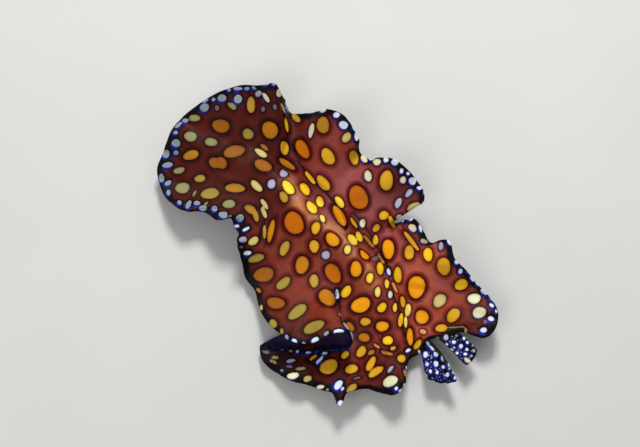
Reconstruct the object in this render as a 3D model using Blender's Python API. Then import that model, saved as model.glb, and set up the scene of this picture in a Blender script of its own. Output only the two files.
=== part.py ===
"""Leopard flatworm: a still, life-size model of a crawling polyclad worm with a ruffled mantle.

The head points to -Y, the worm's left side is +X and it rests on its sole at z = 0.
All sizes below are millimetres and angles are radians; every mesh is made metres at the end, and is
moved so that the origin lies under the middle of the worm.

The upper skin is one function of two numbers. u runs round the margin, from 0 to 1, anticlockwise
as seen from above, and r runs from 0 on the crest of the back to 1 at the margin. A plain oval worm
comes first, and the ruffles then pull its skin towards the margin's stations. Each sub-part is a
patch of that skin with a thickness, cut from its neighbours by a thin gap.
"""
import bmesh
import bpy
import numpy as np

MM = 0.001
TURN = 2 * np.pi
FRAME_CENTRE = (-1.84, 0.62)    # the middle of the worm's box, which the finished meshes stand round

# The plain worm under the ruffles
OVAL_CENTRE = (-0.5, 1.0)
OVAL_HALF_WIDTH = 14.5
OVAL_HALF_LENGTH = 24.5
CREST_HALF_LENGTH = 18.0
# The crest of the back wanders a little from side to side: (y, x) from the head to the tail
CREST_LINE = [(-18.0, -0.2), (-12.0, 1.0), (-7.0, 1.5), (0.0, 1.0), (9.0, 1.0), (18.0, 1.6)]

BACK_HEIGHT = 2.3           # of the mantle beside the crest
OUTWARD_RISE = 0.2          # how much higher the plain mantle is at its rim
CREST_RISE = 3.0            # of the crest above it, at mid length
CREST_FADE_LENGTH = 26.0    # the crest dies away this far from the middle
RIGHT_SLOPE = 4.6           # how far the crest's gentle right flank reaches
CREASE_REACH = 3.0          # from the crest to the crease at the foot of its steep left flank
CREASE_TAPER = 0.045        # that distance grows by this much for each mm towards the tail
CREASE_DEPTH = 0.75
CREASE_WIDTH = 1.3
SIDE_BLEND = 1.2            # how quickly one flank turns into the other over the head and the tail

SHEET = 0.9                 # thickness of the mantle near the body
EDGE = 0.55                 # and at the margin
SOLE_REACH = 0.30           # the flat sole ends at this r
SHEET_REACH = 0.50          # and the free mantle starts at this one
SHEET_LIFT = 0.6            # turns the thickness a little upright where the skin is steep
SLOPE_STEP = 0.01           # the step in r over which a slope is measured
NORMAL_REACH = (0.004, 0.02)    # thickness follows the skin's slope over this stretch of u
RING_SAMPLES = 2048         # tables that are read round the margin hold this many values
RUFFLE_LEVELS = 13          # and this many steps from the crest to the margin
TINY = 1e-6                 # keeps a division from meeting zero

# The margin, node by node: x, y and the height of the upper skin
MARGIN = {
    "head": [
        (-10.9, -24.0, 2.8), (-9.9, -25.7, 4.2), (-7.9, -25.7, 4.2), (-5.7, -24.0, 3.0),
        (-3.7, -22.9, 2.0), (-1.6, -23.2, 1.9), (0.5, -22.7, 2.0), (1.4, -22.9, 1.8),
        (2.0, -23.4, 1.9), (4.5, -24.7, 2.4)],
    "mantle_left_front": [
        (5.5, -25.8, 2.9), (6.0, -27.2, 3.3), (6.8, -28.6, 3.8), (8.4, -28.9, 4.1),
        (11.1, -27.3, 4.0), (12.2, -24.0, 3.6), (11.8, -21.8, 4.6), (11.8, -19.3, 6.0),
        (11.5, -16.9, 7.0), (12.8, -14.0, 7.6), (12.3, -12.9, 6.6), (11.2, -11.9, 5.4),
        (11.3, -10.1, 6.4), (11.8, -7.9, 6.6), (11.5, -6.1, 4.2)],
    "mantle_left_middle": [
        (10.6, -4.3, 1.7), (12.6, -3.9, 2.2), (14.1, -5.0, 3.3), (15.5, -5.9, 4.6),
        (16.5, -5.0, 5.2), (17.0, -2.7, 5.8), (16.7, -0.3, 7.4), (16.2, 1.7, 8.0),
        (15.2, 3.9, 6.8), (14.4, 6.0, 4.2)],
    "mantle_left_rear": [
        (14.4, 7.6, 3.6), (15.1, 8.9, 5.6), (15.4, 10.9, 7.8), (15.3, 13.1, 8.8),
        (14.4, 15.4, 8.4), (13.6, 17.4, 5.8), (12.7, 19.7, 2.8)],
    "tail_left": [
        (11.7, 21.4, 1.7), (11.4, 22.4, 4.4), (11.1, 23.2, 8.0), (10.9, 24.4, 9.4),
        (9.2, 26.2, 8.4), (7.2, 29.2, 6.8)],
    "tail_middle": [
        (4.1, 30.2, 7.4), (0.8, 31.6, 5.6), (-2.9, 32.3, 4.2), (-6.3, 31.1, 5.2)],
    "tail_right": [
        (-9.1, 29.9, 3.4), (-11.5, 28.7, 2.8), (-13.0, 26.3, 2.4), (-14.0, 22.0, 3.8),
        (-13.3, 19.1, 5.0), (-11.4, 17.4, 4.4), (-10.7, 13.8, 6.0)],
    "mantle_right_rear": [
        (-9.2, 12.6, 6.8), (-9.4, 11.8, 6.2), (-9.7, 11.3, 5.2), (-9.8, 10.2, 5.4),
        (-11.1, 9.2, 6.0), (-11.8, 7.9, 5.0), (-12.7, 6.2, 2.8)],
    "mantle_right_middle": [
        (-13.4, 5.0, 2.0), (-13.9, 2.0, 2.4), (-15.2, -0.3, 2.2), (-16.2, -3.0, 3.6)],
    "mantle_right_fold": [
        (-16.4, -6.0, 5.0), (-15.9, -9.2, 5.8), (-14.5, -10.9, 6.0), (-12.7, -12.2, 7.4),
        (-10.6, -13.4, 9.0), (-9.2, -14.5, 9.0), (-9.3, -15.8, 7.0), (-10.2, -15.6, 4.4),
        (-12.2, -13.5, 2.6), (-15.7, -10.5, 2.0), (-17.9, -7.3, 1.6)],
    "mantle_right_front": [
        (-19.2, -5.1, 1.5), (-20.6, -6.9, 1.5), (-20.4, -10.6, 2.0), (-19.7, -13.3, 3.0),
        (-18.2, -15.3, 2.4), (-17.5, -17.3, 3.2), (-16.7, -19.1, 3.8), (-17.4, -21.1, 3.6),
        (-15.5, -20.4, 4.2), (-13.8, -21.1, 4.0), (-11.8, -22.0, 2.0)],
}
FOLD_END = 5                # the fold's own patch ends at this station, before it tucks under
ANGLE_BLUR = 0.012          # how far along the margin the stations share out their angles
RUFFLE_BLUR = 0.03          # how far small ruffles are smoothed away at the crest
RUFFLE_REACH = (0.4, 1.2)   # the r where ruffles start to pull sideways, and how fast
RISE_REACH = (0.1, 1.35)    # the same for their height
FOLD_ANGLE = 5.2            # near this angle the height starts more evenly, to keep the fold open
FOLD_SPREAD = 0.55
# The fold grows from a place nearer to the tail, and the left front corner from nearer to the left
ANGLE_SHIFTS = [(5.2, 0.4, -0.14), (0.36, 0.2, 0.2)]    # angle, its reach, and the shift
WALL_ANGLE = 5.13           # where the fold's front wall stands, and how wide its reach is
WALL_SPREAD = 0.35
WALL_START = 0.3            # the r where that wall starts to rise

# Each tentacle is a square flap: its root's two stations of the head, and its tip's two corners
TENTACLES = {
    "tentacle_right": ((5, 6), (-4.4, -27.0, 2.4), (-1.3, -31.3, 3.4)),
    "tentacle_left": ((8, 9), (1.5, -30.0, 2.8), (4.5, -29.5, 3.4)),
}
FLAP_CUP = 0.7              # how far the flap's sides curl up
FLAP_CURL_END = 1.6         # the curl would be gone at this many lengths from the root
FLAP_RUFFLE = 0.25
FLAP_RUFFLE_WAVES = 1.5     # across the flap
FLAP_CORNER = 0.12          # how much the tip's corners are rounded off

# The back is cut across at these angles round the oval, from the head to the tail
BACK_CUTS = {"back_front": 1.28, "back_middle": 1.95, "back_rear": np.pi}

GAP = 0.3                   # between neighbouring pieces
CUT_SHARE = 0.3             # a cut takes at most this share of a narrow patch's width
HEAD_CUT_MOST = 0.012       # and at most this much of u beside the head's crest
CELL = 1.45                 # size of a mesh cell along the margin
MANTLE_ROWS = 9
HEAD_FAN_REACH = 0.6        # where the head's mesh has turned from even angles to even steps
TUCK_REACH = 0.35           # how far from the back the front lobe reaches under the fold
HEAD_ROWS = 10
BACK_COLUMNS = 8
TENTACLE_CELLS = (6, 7)
SHARP_ANGLE = 1.0           # edges bent more than this are shaded sharp

COLOURS = {
    "head": (0.30, 0.075, 0.035, 1.0),
    "tentacle": (0.012, 0.012, 0.03, 1.0),
    "back": (0.45, 0.17, 0.08, 1.0),
    "mantle": (0.22, 0.05, 0.03, 1.0),
    "tail": (0.14, 0.03, 0.015, 1.0),
}
WET_ROUGHNESS = 0.35


def smooth(x):
    """Eases from 0 to 1 with level ends."""
    x = np.clip(x, 0.0, 1.0)
    return x * x * (3 - 2 * x)


def ring_curve(knots, values, at):
    """A closed cubic through the values at the knots, with slopes weighted by their spacing."""
    ahead = np.diff(np.append(knots, knots[0] + 1))[:, None]
    behind = np.roll(ahead, 1, 0)
    slope = (np.roll(values, -1, 0) - values) / ahead
    tangent = (slope * behind + np.roll(slope, 1, 0) * ahead) / (ahead + behind)
    at = np.asarray(at) % 1.0
    i = np.clip(np.searchsorted(knots, at, side="right") - 1, 0, len(knots) - 1)
    j = (i + 1) % len(knots)
    span = ahead[i]
    t = ((at - knots[i])[..., None]) / span
    start = (2 * t**3 - 3 * t**2 + 1) * values[i] + (t**3 - 2 * t**2 + t) * span * tangent[i]
    return start + (3 * t**2 - 2 * t**3) * values[j] + (t**3 - t**2) * span * tangent[j]


def blur_ring(table, reach):
    """Smooths samples round a closed ring with a bell curve whose half width is reach."""
    waves = np.arange(len(table) // 2 + 1)[:, None]
    bell = np.exp(-0.5 * (TURN * waves * reach) ** 2)
    return np.fft.irfft(np.fft.rfft(table, axis=0) * bell, n=len(table), axis=0)


def sample_ring(table, u):
    """Reads a ring of samples at u, in straight lines between them."""
    x = (np.asarray(u) % 1.0) * len(table)
    i = np.floor(x).astype(int) % len(table)
    f = (x - np.floor(x))[..., None]
    return table[i] * (1 - f) + table[(i + 1) % len(table)] * f


class Margin:
    """The stations as one closed curve, with the angle round the oval that each place belongs to."""

    def __init__(self, stations):
        self.points = np.array(stations, float)
        steps = np.linalg.norm(np.roll(self.points, -1, 0) - self.points, axis=1)
        self.length = steps.sum()
        self.knots = np.concatenate([[0.0], np.cumsum(steps)[:-1]]) / self.length
        across = (self.points[:, 0] - OVAL_CENTRE[0]) / OVAL_HALF_WIDTH
        along = -(self.points[:, 1] - OVAL_CENTRE[1]) / OVAL_HALF_LENGTH
        angle = np.unwrap(np.arctan2(across, along))
        angle -= TURN * np.round(angle[0] / TURN)
        rising = np.maximum.accumulate(angle)
        falling = np.minimum.accumulate(angle[::-1])[::-1]
        offset = (rising + falling) / 2 - TURN * self.knots
        ring = np.arange(RING_SAMPLES) / RING_SAMPLES
        table = np.interp(ring, np.append(self.knots, 1.0), np.append(offset, offset[0]))
        self.offset = blur_ring(table[:, None], ANGLE_BLUR)
        even = self.angle(ring)
        for place, reach, shift in ANGLE_SHIFTS:
            self.offset += shift * np.exp(-((even - place) / reach) ** 2)[:, None]

    def place(self, u):
        return ring_curve(self.knots, self.points, u)

    def angle(self, u):
        return sample_ring(self.offset, u)[..., 0] + TURN * np.asarray(u)

    def u_at(self, angle):
        """The place round the margin that belongs to an angle."""
        ring = np.linspace(-0.1, 1.1, 2 * RING_SAMPLES)
        return np.interp(angle, self.angle(ring), ring)


def crest_x(y):
    """The crest's sideways place, a smooth curve through its named points."""
    line = np.array(CREST_LINE)
    return np.polyval(np.polyfit(line[:, 0], line[:, 1], 4), y)


def plain_worm(angle, r):
    """The oval worm before it is ruffled: place on the floor and height of the skin."""
    y = -CREST_HALF_LENGTH * np.cos(angle)
    crest = np.stack([crest_x(y), y], -1)
    rim = np.stack([OVAL_CENTRE[0] + OVAL_HALF_WIDTH * np.sin(angle),
                    OVAL_CENTRE[1] - OVAL_HALF_LENGTH * np.cos(angle)], -1)
    away = (rim - crest) * np.asarray(r)[..., None]
    distance = np.linalg.norm(away, axis=-1)
    left = smooth(0.5 + SIDE_BLEND * np.sin(angle))
    right_flank = np.exp(-(distance / RIGHT_SLOPE) ** 2)
    crease = CREASE_REACH + CREASE_TAPER * y
    left_flank = 1 - smooth(distance / crease)
    left_flank = left_flank - CREASE_DEPTH / CREST_RISE * np.exp(-((distance - crease) / CREASE_WIDTH) ** 2)
    ridge = right_flank * (1 - left) + left_flank * left
    fade = 1 - (y / CREST_FADE_LENGTH) ** 2
    return crest + away, BACK_HEIGHT + OUTWARD_RISE * r + CREST_RISE * fade * ridge


MARGIN_CURVE = Margin([place for lobe in MARGIN.values() for place in lobe])


def ruffle_levels():
    """How far the margin departs from the plain worm, smoothed more and more towards the crest."""
    ring = np.arange(RING_SAMPLES) / RING_SAMPLES
    rim, height = plain_worm(MARGIN_CURVE.angle(ring), np.ones(RING_SAMPLES))
    plain = np.concatenate([rim, height[:, None]], axis=1)
    pull = MARGIN_CURVE.place(ring) - plain
    steps = np.linspace(0, 1, RUFFLE_LEVELS)
    return np.array([blur_ring(pull, RUFFLE_BLUR * (1 - r)) for r in steps])


RUFFLES = ruffle_levels()


def ruffle(u, r):
    """Reads the departure at u and r, in straight lines between its levels."""
    y = np.clip(r, 0, 1) * (RUFFLE_LEVELS - 1)
    low = np.minimum(np.floor(y).astype(int), RUFFLE_LEVELS - 2)
    x = (u % 1.0) * RING_SAMPLES
    i = np.floor(x).astype(int) % RING_SAMPLES
    j = (i + 1) % RING_SAMPLES
    fx = (x - np.floor(x))[..., None]
    fy = (y - low)[..., None]
    inner = RUFFLES[low, i] * (1 - fx) + RUFFLES[low, j] * fx
    outer = RUFFLES[low + 1, i] * (1 - fx) + RUFFLES[low + 1, j] * fx
    return inner * (1 - fy) + outer * fy


def upper(u, r):
    """The upper skin: the plain worm, pulled sideways and up by the ruffles as r grows."""
    u, r = np.broadcast_arrays(np.asarray(u, float), np.asarray(r, float))
    angle = MARGIN_CURVE.angle(u)
    place, height = plain_worm(angle, r)
    pull = ruffle(u, r)
    sideways = np.clip((r - RUFFLE_REACH[0]) / (1 - RUFFLE_REACH[0]), 0, 1) ** RUFFLE_REACH[1]
    near_fold = np.exp(-((angle % TURN - FOLD_ANGLE) / FOLD_SPREAD) ** 2)
    power = RISE_REACH[1] * (1 - near_fold) + near_fold
    at_wall = np.exp(-((angle % TURN - WALL_ANGLE) / WALL_SPREAD) ** 2)
    first = RISE_REACH[0] + (WALL_START - RISE_REACH[0]) * at_wall
    rise = np.clip((r - first) / (1 - first), 0, 1) ** power
    place = place + pull[..., :2] * sideways[..., None]
    return np.concatenate([place, (height + pull[..., 2] * rise)[..., None]], -1)


def slopes(u, r, reach=0.002, skin=upper):
    """How a skin runs along r and along u; reach is the stretch of u that it is measured over."""
    inner = np.clip(r - SLOPE_STEP, 0.001, 1)
    outer = np.clip(r + SLOPE_STEP, 0.001, 1)
    clear = np.maximum(r, 2 * SLOPE_STEP)
    along_r = (skin(u, outer) - skin(u, inner)) / (outer - inner)[..., None]
    along_u = skin(u + reach, clear) - skin(u - reach, clear)
    return along_r, along_u / np.broadcast_to(2 * reach, r.shape)[..., None]


def unit(vectors):
    return vectors / np.maximum(np.linalg.norm(vectors, axis=-1, keepdims=True), TINY)


def lower(u, r):
    """The under side: a flat sole below the back, and the mantle's own thickness further out."""
    u, r = np.broadcast_arrays(np.asarray(u, float), np.asarray(r, float))
    top = upper(u, r)
    along_r, along_u = slopes(u, r, NORMAL_REACH[0] + NORMAL_REACH[1] * (1 - r))
    across = unit(np.cross(along_r, along_u)) + np.array([0, 0, SHEET_LIFT])
    thickness = SHEET + (EDGE - SHEET) * smooth(r)
    sheet = top - unit(across) * thickness[..., None]
    sole = top * np.array([1, 1, 0])
    free = smooth((r - SOLE_REACH) / (SHEET_REACH - SOLE_REACH))[..., None]
    under = sole * (1 - free) + sheet * free
    under[..., 2] = np.maximum(under[..., 2], 0)
    return under


def half_gap_in_u(u, r):
    """How much u moves a cut sideways by half the gap, on whichever face is squeezed more."""
    widths = []
    for skin in (upper, lower):
        along_r, along_u = slopes(u, r, skin=skin)
        area = np.linalg.norm(np.cross(along_r, along_u), axis=-1)
        widths.append(area / np.maximum(np.linalg.norm(along_r, axis=-1), TINY))
    return 0.5 * GAP / np.maximum(np.minimum(*widths), TINY)


def half_gap_in_r(u, r):
    """How much r moves a cut sideways by half the gap."""
    along_r, along_u = slopes(u, r)
    area = np.linalg.norm(np.cross(along_r, along_u), axis=-1)
    return 0.5 * GAP * np.linalg.norm(along_u, axis=-1) / np.maximum(area, TINY)


def mantle_patch(first, last, first_at_back=None):
    """Maps a unit square to the mantle between two places of the margin, from the back to the edge.

    first_at_back is the place where the patch starts beside the back, if that isn't first.
    """
    def place(p, q):
        r = SOLE_REACH + (1 - SOLE_REACH) * q
        start = np.full_like(r, first)
        if first_at_back is not None:
            start += (first_at_back - first) * (1 - smooth(q / TUCK_REACH))
        most = CUT_SHARE * (last - start)
        end = last - np.minimum(half_gap_in_u(np.full_like(r, last), r), most)
        start += np.minimum(half_gap_in_u(start, r), most)
        u = start + (end - start) * p
        r = r + half_gap_in_r(u, np.full_like(u, SOLE_REACH)) * (1 - q)
        return u, r
    return place


def neck_angle(side):
    """The angle where the head meets the back: side runs from -1, the sole's right edge, to 1."""
    right = -float(MARGIN_CURVE.angle(0.0))
    left = float(MARGIN_CURVE.angle(MARGIN_CURVE.knots[len(MARGIN["head"])]))
    return (right + left) / 2 - (right - left) / 2 * side


def back_patch(first, last, at_neck, at_tail):
    """Maps a square to the back between two angles, p along it and q from the right side to the left."""
    def place(p, q):
        side = 2 * q - 1
        start = neck_angle(side) if at_neck else first
        start = start + 0.5 * GAP / (CREST_HALF_LENGTH * np.sin(start))
        end = last if at_tail else last - 0.5 * GAP / (CREST_HALF_LENGTH * np.sin(last))
        angle = start + (end - start) * p
        u = MARGIN_CURVE.u_at(np.where(side < 0, TURN - angle, angle))
        trim = half_gap_in_r(u, np.full_like(u, SOLE_REACH))
        return u, np.abs(side) * (SOLE_REACH - trim)
    return place


def head_patch(p, q):
    """Maps a square to the head, p from its right cut round to its left one and q from the crest out."""
    side = np.where(p < 0.5, -1.0, 1.0)
    reach = neck_angle(side * np.minimum(q / SOLE_REACH, 1))
    cut = MARGIN_CURVE.u_at(side * reach)
    trim = np.minimum(half_gap_in_u(cut, np.maximum(q, 2 * SLOPE_STEP)), HEAD_CUT_MOST)
    even = MARGIN_CURVE.u_at(reach * (2 * p - 1))
    along_margin = MARGIN_CURVE.knots[len(MARGIN["head"])] * p
    share = smooth(q / HEAD_FAN_REACH)
    return even + (along_margin - even) * share + trim * (1 - 2 * p), q


def flap_top(name, a, b):
    """A tentacle's upper skin: a goes across it, b from the root on the margin out to the tip."""
    (root_a, root_b), tip_a, tip_b = TENTACLES[name]
    u = MARGIN_CURVE.knots[root_a] + (MARGIN_CURVE.knots[root_b] - MARGIN_CURVE.knots[root_a]) * a
    root = upper(u, np.ones_like(u))
    spread = 0.5 + (a - 0.5) * (1 - FLAP_CORNER * b ** 5)
    tip = np.array(tip_a) + (np.array(tip_b) - np.array(tip_a)) * spread[..., None]
    skin = root + (tip - root) * b[..., None]
    skin[..., 2] += FLAP_CUP * (2 * a - 1) ** 2 * b * (FLAP_CURL_END - b)
    skin[..., 2] += FLAP_RUFFLE * np.sin(TURN * FLAP_RUFFLE_WAVES * a) * b
    return skin


def flap_bottom(name, a, b):
    """The same flap, one edge thickness lower."""
    small = 0.02
    along_a = flap_top(name, a + small, b) - flap_top(name, a - small, b)
    along_b = flap_top(name, a, b + small) - flap_top(name, a, b - small)
    down = unit(np.cross(along_b, along_a))
    return flap_top(name, a, b) - down * EDGE


def grid_body(name, columns, rows, shape, sew=None):
    """Makes one closed body: a triangulated unit grid, given a second layer, then bent into shape.

    shape takes p, q and which layer a point is on, and returns its place in millimetres.
    sew joins the two halves of the grid's first column or row, where a patch folds on the crest.
    """
    mesh = bmesh.new()
    bmesh.ops.create_grid(mesh, x_segments=columns, y_segments=rows, size=0.5)
    for vert in mesh.verts:
        vert.co.x += 0.5
        vert.co.y += 0.5
    if sew:
        pairs = {}
        border = [v for v in mesh.verts if abs(v.co[sew[0]] - sew[1]) < TINY]
        border.sort(key=lambda v: v.co[1 - sew[0]])
        for a, b in zip(border[:len(border) // 2], border[::-1]):
            pairs[a] = b
        bmesh.ops.weld_verts(mesh, targetmap=pairs)
    bmesh.ops.triangulate(mesh, faces=mesh.faces[:], quad_method="FIXED")
    layer = bmesh.ops.extrude_face_region(mesh, geom=mesh.faces[:], use_keep_orig=True)
    for item in layer["geom"]:
        if isinstance(item, bmesh.types.BMVert):
            item.co.z = 1.0
    flat = np.array([v.co[:] for v in mesh.verts])
    places = shape(flat[:, 0], flat[:, 1], flat[:, 2] > 0.5)
    places = (places - np.array([*FRAME_CENTRE, 0])) * MM
    for vert, place in zip(mesh.verts, places):
        vert.co = place
    bmesh.ops.recalc_face_normals(mesh, faces=mesh.faces[:])
    data = bpy.data.meshes.new(name)
    mesh.to_mesh(data)
    mesh.free()
    body = bpy.data.objects.new(name, data)
    data.shade_smooth()
    data.set_sharp_from_angle(angle=SHARP_ANGLE)
    return body


def skin_shape(patch):
    """Turns a patch of the skin into the shape of a body with an upper and an under side."""
    def shape(p, q, is_top):
        u, r = patch(p, q)
        return np.where(is_top[:, None], upper(u, r), lower(u, r))
    return shape


def flap_shape(name):
    """The shape of a tentacle, held off the head's margin by the gap."""
    def shape(p, q, is_top):
        ends = flap_top(name, np.array([0.5, 0.5]), np.array([0.0, 1.0]))
        clear = GAP / np.linalg.norm(ends[1] - ends[0])
        b = clear + (1 - clear) * q
        return np.where(is_top[:, None], flap_top(name, p, b), flap_bottom(name, p, b))
    return shape


def material(name, colour):
    made = bpy.data.materials.new(name)
    made.use_nodes = True
    shader = made.node_tree.nodes["Principled BSDF"]
    shader.inputs["Base Color"].default_value = colour
    shader.inputs["Roughness"].default_value = WET_ROUGHNESS
    shader.inputs["Metallic"].default_value = 0.0
    return made


def mantle_bodies():
    """The head, and the lobes of the mantle and the tail, each from its first station to the next."""
    knots = np.append(MARGIN_CURVE.knots, 1.0)
    bodies = []
    start = 0
    fold_end = None
    for name, stations in MARGIN.items():
        first = knots[start]
        last = knots[start + len(stations)]
        if name == "mantle_right_fold":
            last = knots[start + FOLD_END]
            fold_end = last
        columns = max(4, round((last - first) * MARGIN_CURVE.length / CELL))
        if name == "head":
            columns += columns % 2
            bodies.append(grid_body(name, columns, HEAD_ROWS, skin_shape(head_patch), sew=(1, 0.0)))
        else:
            at_back = fold_end if name == "mantle_right_front" else None
            patch = mantle_patch(first, last, at_back)
            bodies.append(grid_body(name, columns, MANTLE_ROWS, skin_shape(patch)))
        start += len(stations)
    return bodies


def back_bodies():
    """The back, in lengths from the head to the tail."""
    bodies = []
    first = neck_angle(0)
    for name, last in BACK_CUTS.items():
        at_neck = not bodies
        at_tail = last == np.pi
        rows = max(6, round(CREST_HALF_LENGTH * (last - first) / CELL))
        patch = back_patch(first, last, at_neck, at_tail)
        sew = (0, 1.0) if at_tail else None
        bodies.append(grid_body(name, rows, BACK_COLUMNS, skin_shape(patch), sew=sew))
        first = last
    return bodies


def main():
    for old in list(bpy.data.objects):
        bpy.data.objects.remove(old, do_unlink=True)
    worm = bpy.data.collections.new("leopard_flatworm")
    bpy.context.scene.collection.children.link(worm)
    bodies = mantle_bodies() + back_bodies()
    bodies += [grid_body(name, *TENTACLE_CELLS, flap_shape(name)) for name in TENTACLES]
    for body in bodies:
        family = body.name.split("_")[0]
        body.data.materials.append(material(body.name, COLOURS[family]))
        worm.objects.link(body)


main()
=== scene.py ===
# %% [markdown]
# A leopard flatworm, life size. The real animal is a thin, wet sheet of flesh that creeps over the
# sea floor, with a ruffled edge called the mantle, a low ridge down its back and two square flaps
# at the front, its tentacles. Everything here is one soft skin, so the lesson is about making one
# closed surface from formulas and then painting it with values that sit on its points.

import bpy
import numpy as np
from mathutils import Matrix


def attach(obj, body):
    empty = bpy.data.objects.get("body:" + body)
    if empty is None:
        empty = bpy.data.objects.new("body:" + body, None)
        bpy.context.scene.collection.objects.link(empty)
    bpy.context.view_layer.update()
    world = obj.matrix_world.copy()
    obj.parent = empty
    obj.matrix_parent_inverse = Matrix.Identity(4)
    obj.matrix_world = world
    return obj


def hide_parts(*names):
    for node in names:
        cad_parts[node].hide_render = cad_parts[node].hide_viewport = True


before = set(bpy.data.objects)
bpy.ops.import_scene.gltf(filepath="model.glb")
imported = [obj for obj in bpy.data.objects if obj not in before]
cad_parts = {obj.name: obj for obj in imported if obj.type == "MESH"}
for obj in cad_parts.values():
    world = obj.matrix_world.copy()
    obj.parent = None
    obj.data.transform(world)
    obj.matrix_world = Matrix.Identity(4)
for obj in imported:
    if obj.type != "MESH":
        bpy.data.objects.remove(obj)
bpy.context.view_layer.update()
print("solid nodes:", len(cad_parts))

# %% [markdown]
# The solids were designed in millimetres, with the head towards -Y. This script works in the same
# numbers and only turns them into metres at the end. The origin of the row stands under the middle
# of the worm's box, so every finished point is moved by that middle as well.

# %% Units
MM = 0.001
TURN = 2 * np.pi
FRAME_CENTRE = (-1.84, 0.62)
TINY = 1e-9


def to_metres(points):
    """Moves design points by the middle of the box, and turns millimetres into metres."""
    return (np.asarray(points, float) - [*FRAME_CENTRE, 0.0]) * MM


def unit(vectors):
    """Each vector divided by its own length."""
    return vectors / np.maximum(np.linalg.norm(vectors, axis=-1, keepdims=True), TINY)


def smooth(x):
    """Eases from 0 to 1 with level ends: three times the square less twice the cube."""
    x = np.clip(x, 0.0, 1.0)
    return x * x * (3 - 2 * x)


print("the middle of the worm's box goes to:", to_metres([*FRAME_CENTRE, 0.0]))

# %% [markdown]
# The camera comes first, because the markings are placed by where they are seen in the picture.
# It looks down steeply from in front of the worm's right side, through a long lens as for a small
# subject. A camera is three directions and a place: back points from the worm to the lens, right
# and up span the picture. The same three turn any point of the worm into a place in the picture.

# %% The camera
PICTURE_SIZE = (640, 447)
AZIMUTH = np.radians(-43.0)     # from straight ahead of the worm round to its right
ELEVATION = np.radians(68.0)
LENS = 90.0                 # mm, like the sensor's width below
SENSOR = 36.0
CLIP = (0.01, 10.0)         # m, the nearest and farthest that is drawn
MM_PER_PX = 0.161           # at the middle of the worm's back
AIM = np.array([0.0, 0.0, 4.0])         # a point in the back, in mm
AIM_IN_PICTURE = (328.0, 240.0)         # where that point is seen, across and down

BACK = np.array([np.sin(AZIMUTH) * np.cos(ELEVATION), -np.cos(AZIMUTH) * np.cos(ELEVATION),
                 np.sin(ELEVATION)])
RIGHT = unit(np.cross([0.0, 0.0, 1.0], BACK))
UP = np.cross(BACK, RIGHT)
DISTANCE = MM_PER_PX * PICTURE_SIZE[0] / SENSOR * LENS
off_centre = (np.array(AIM_IN_PICTURE) - np.array(PICTURE_SIZE) / 2) * MM_PER_PX
EYE = AIM - RIGHT * off_centre[0] + UP * off_centre[1] + BACK * DISTANCE


def in_picture(points):
    """Where points are seen: across and down in picture units, and how deep behind the lens."""
    seen = points - EYE
    depth = -(seen @ BACK)
    scale = LENS / SENSOR * PICTURE_SIZE[0] / depth
    across = seen @ RIGHT * scale + PICTURE_SIZE[0] / 2
    down = -(seen @ UP) * scale + PICTURE_SIZE[1] / 2
    return across, down, depth


lens = bpy.data.cameras.new("camera")
lens.lens = LENS
lens.sensor_width = SENSOR
lens.clip_start, lens.clip_end = CLIP
camera = bpy.data.objects.new("camera", lens)
turned = np.eye(4)
turned[:3, 0], turned[:3, 1], turned[:3, 2], turned[:3, 3] = RIGHT, UP, BACK, to_metres(EYE)
camera.matrix_world = Matrix(turned.tolist())
bpy.context.scene.collection.objects.link(camera)
bpy.context.scene.camera = camera
print("camera at", [round(v, 4) for v in camera.matrix_world.translation])

# %% [markdown]
# The body could be sculpted by hand, but a formula lets the skin be drawn as finely as it needs.
# It takes two numbers: u runs once round the margin, and r runs from the crest of the back out to
# the margin. First comes a plain oval worm with a ridge, then the ruffles pull its skin towards
# stations that were read along the margin. These are the same stations as in the solids, so the
# skin lies where the solids lie.

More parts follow.
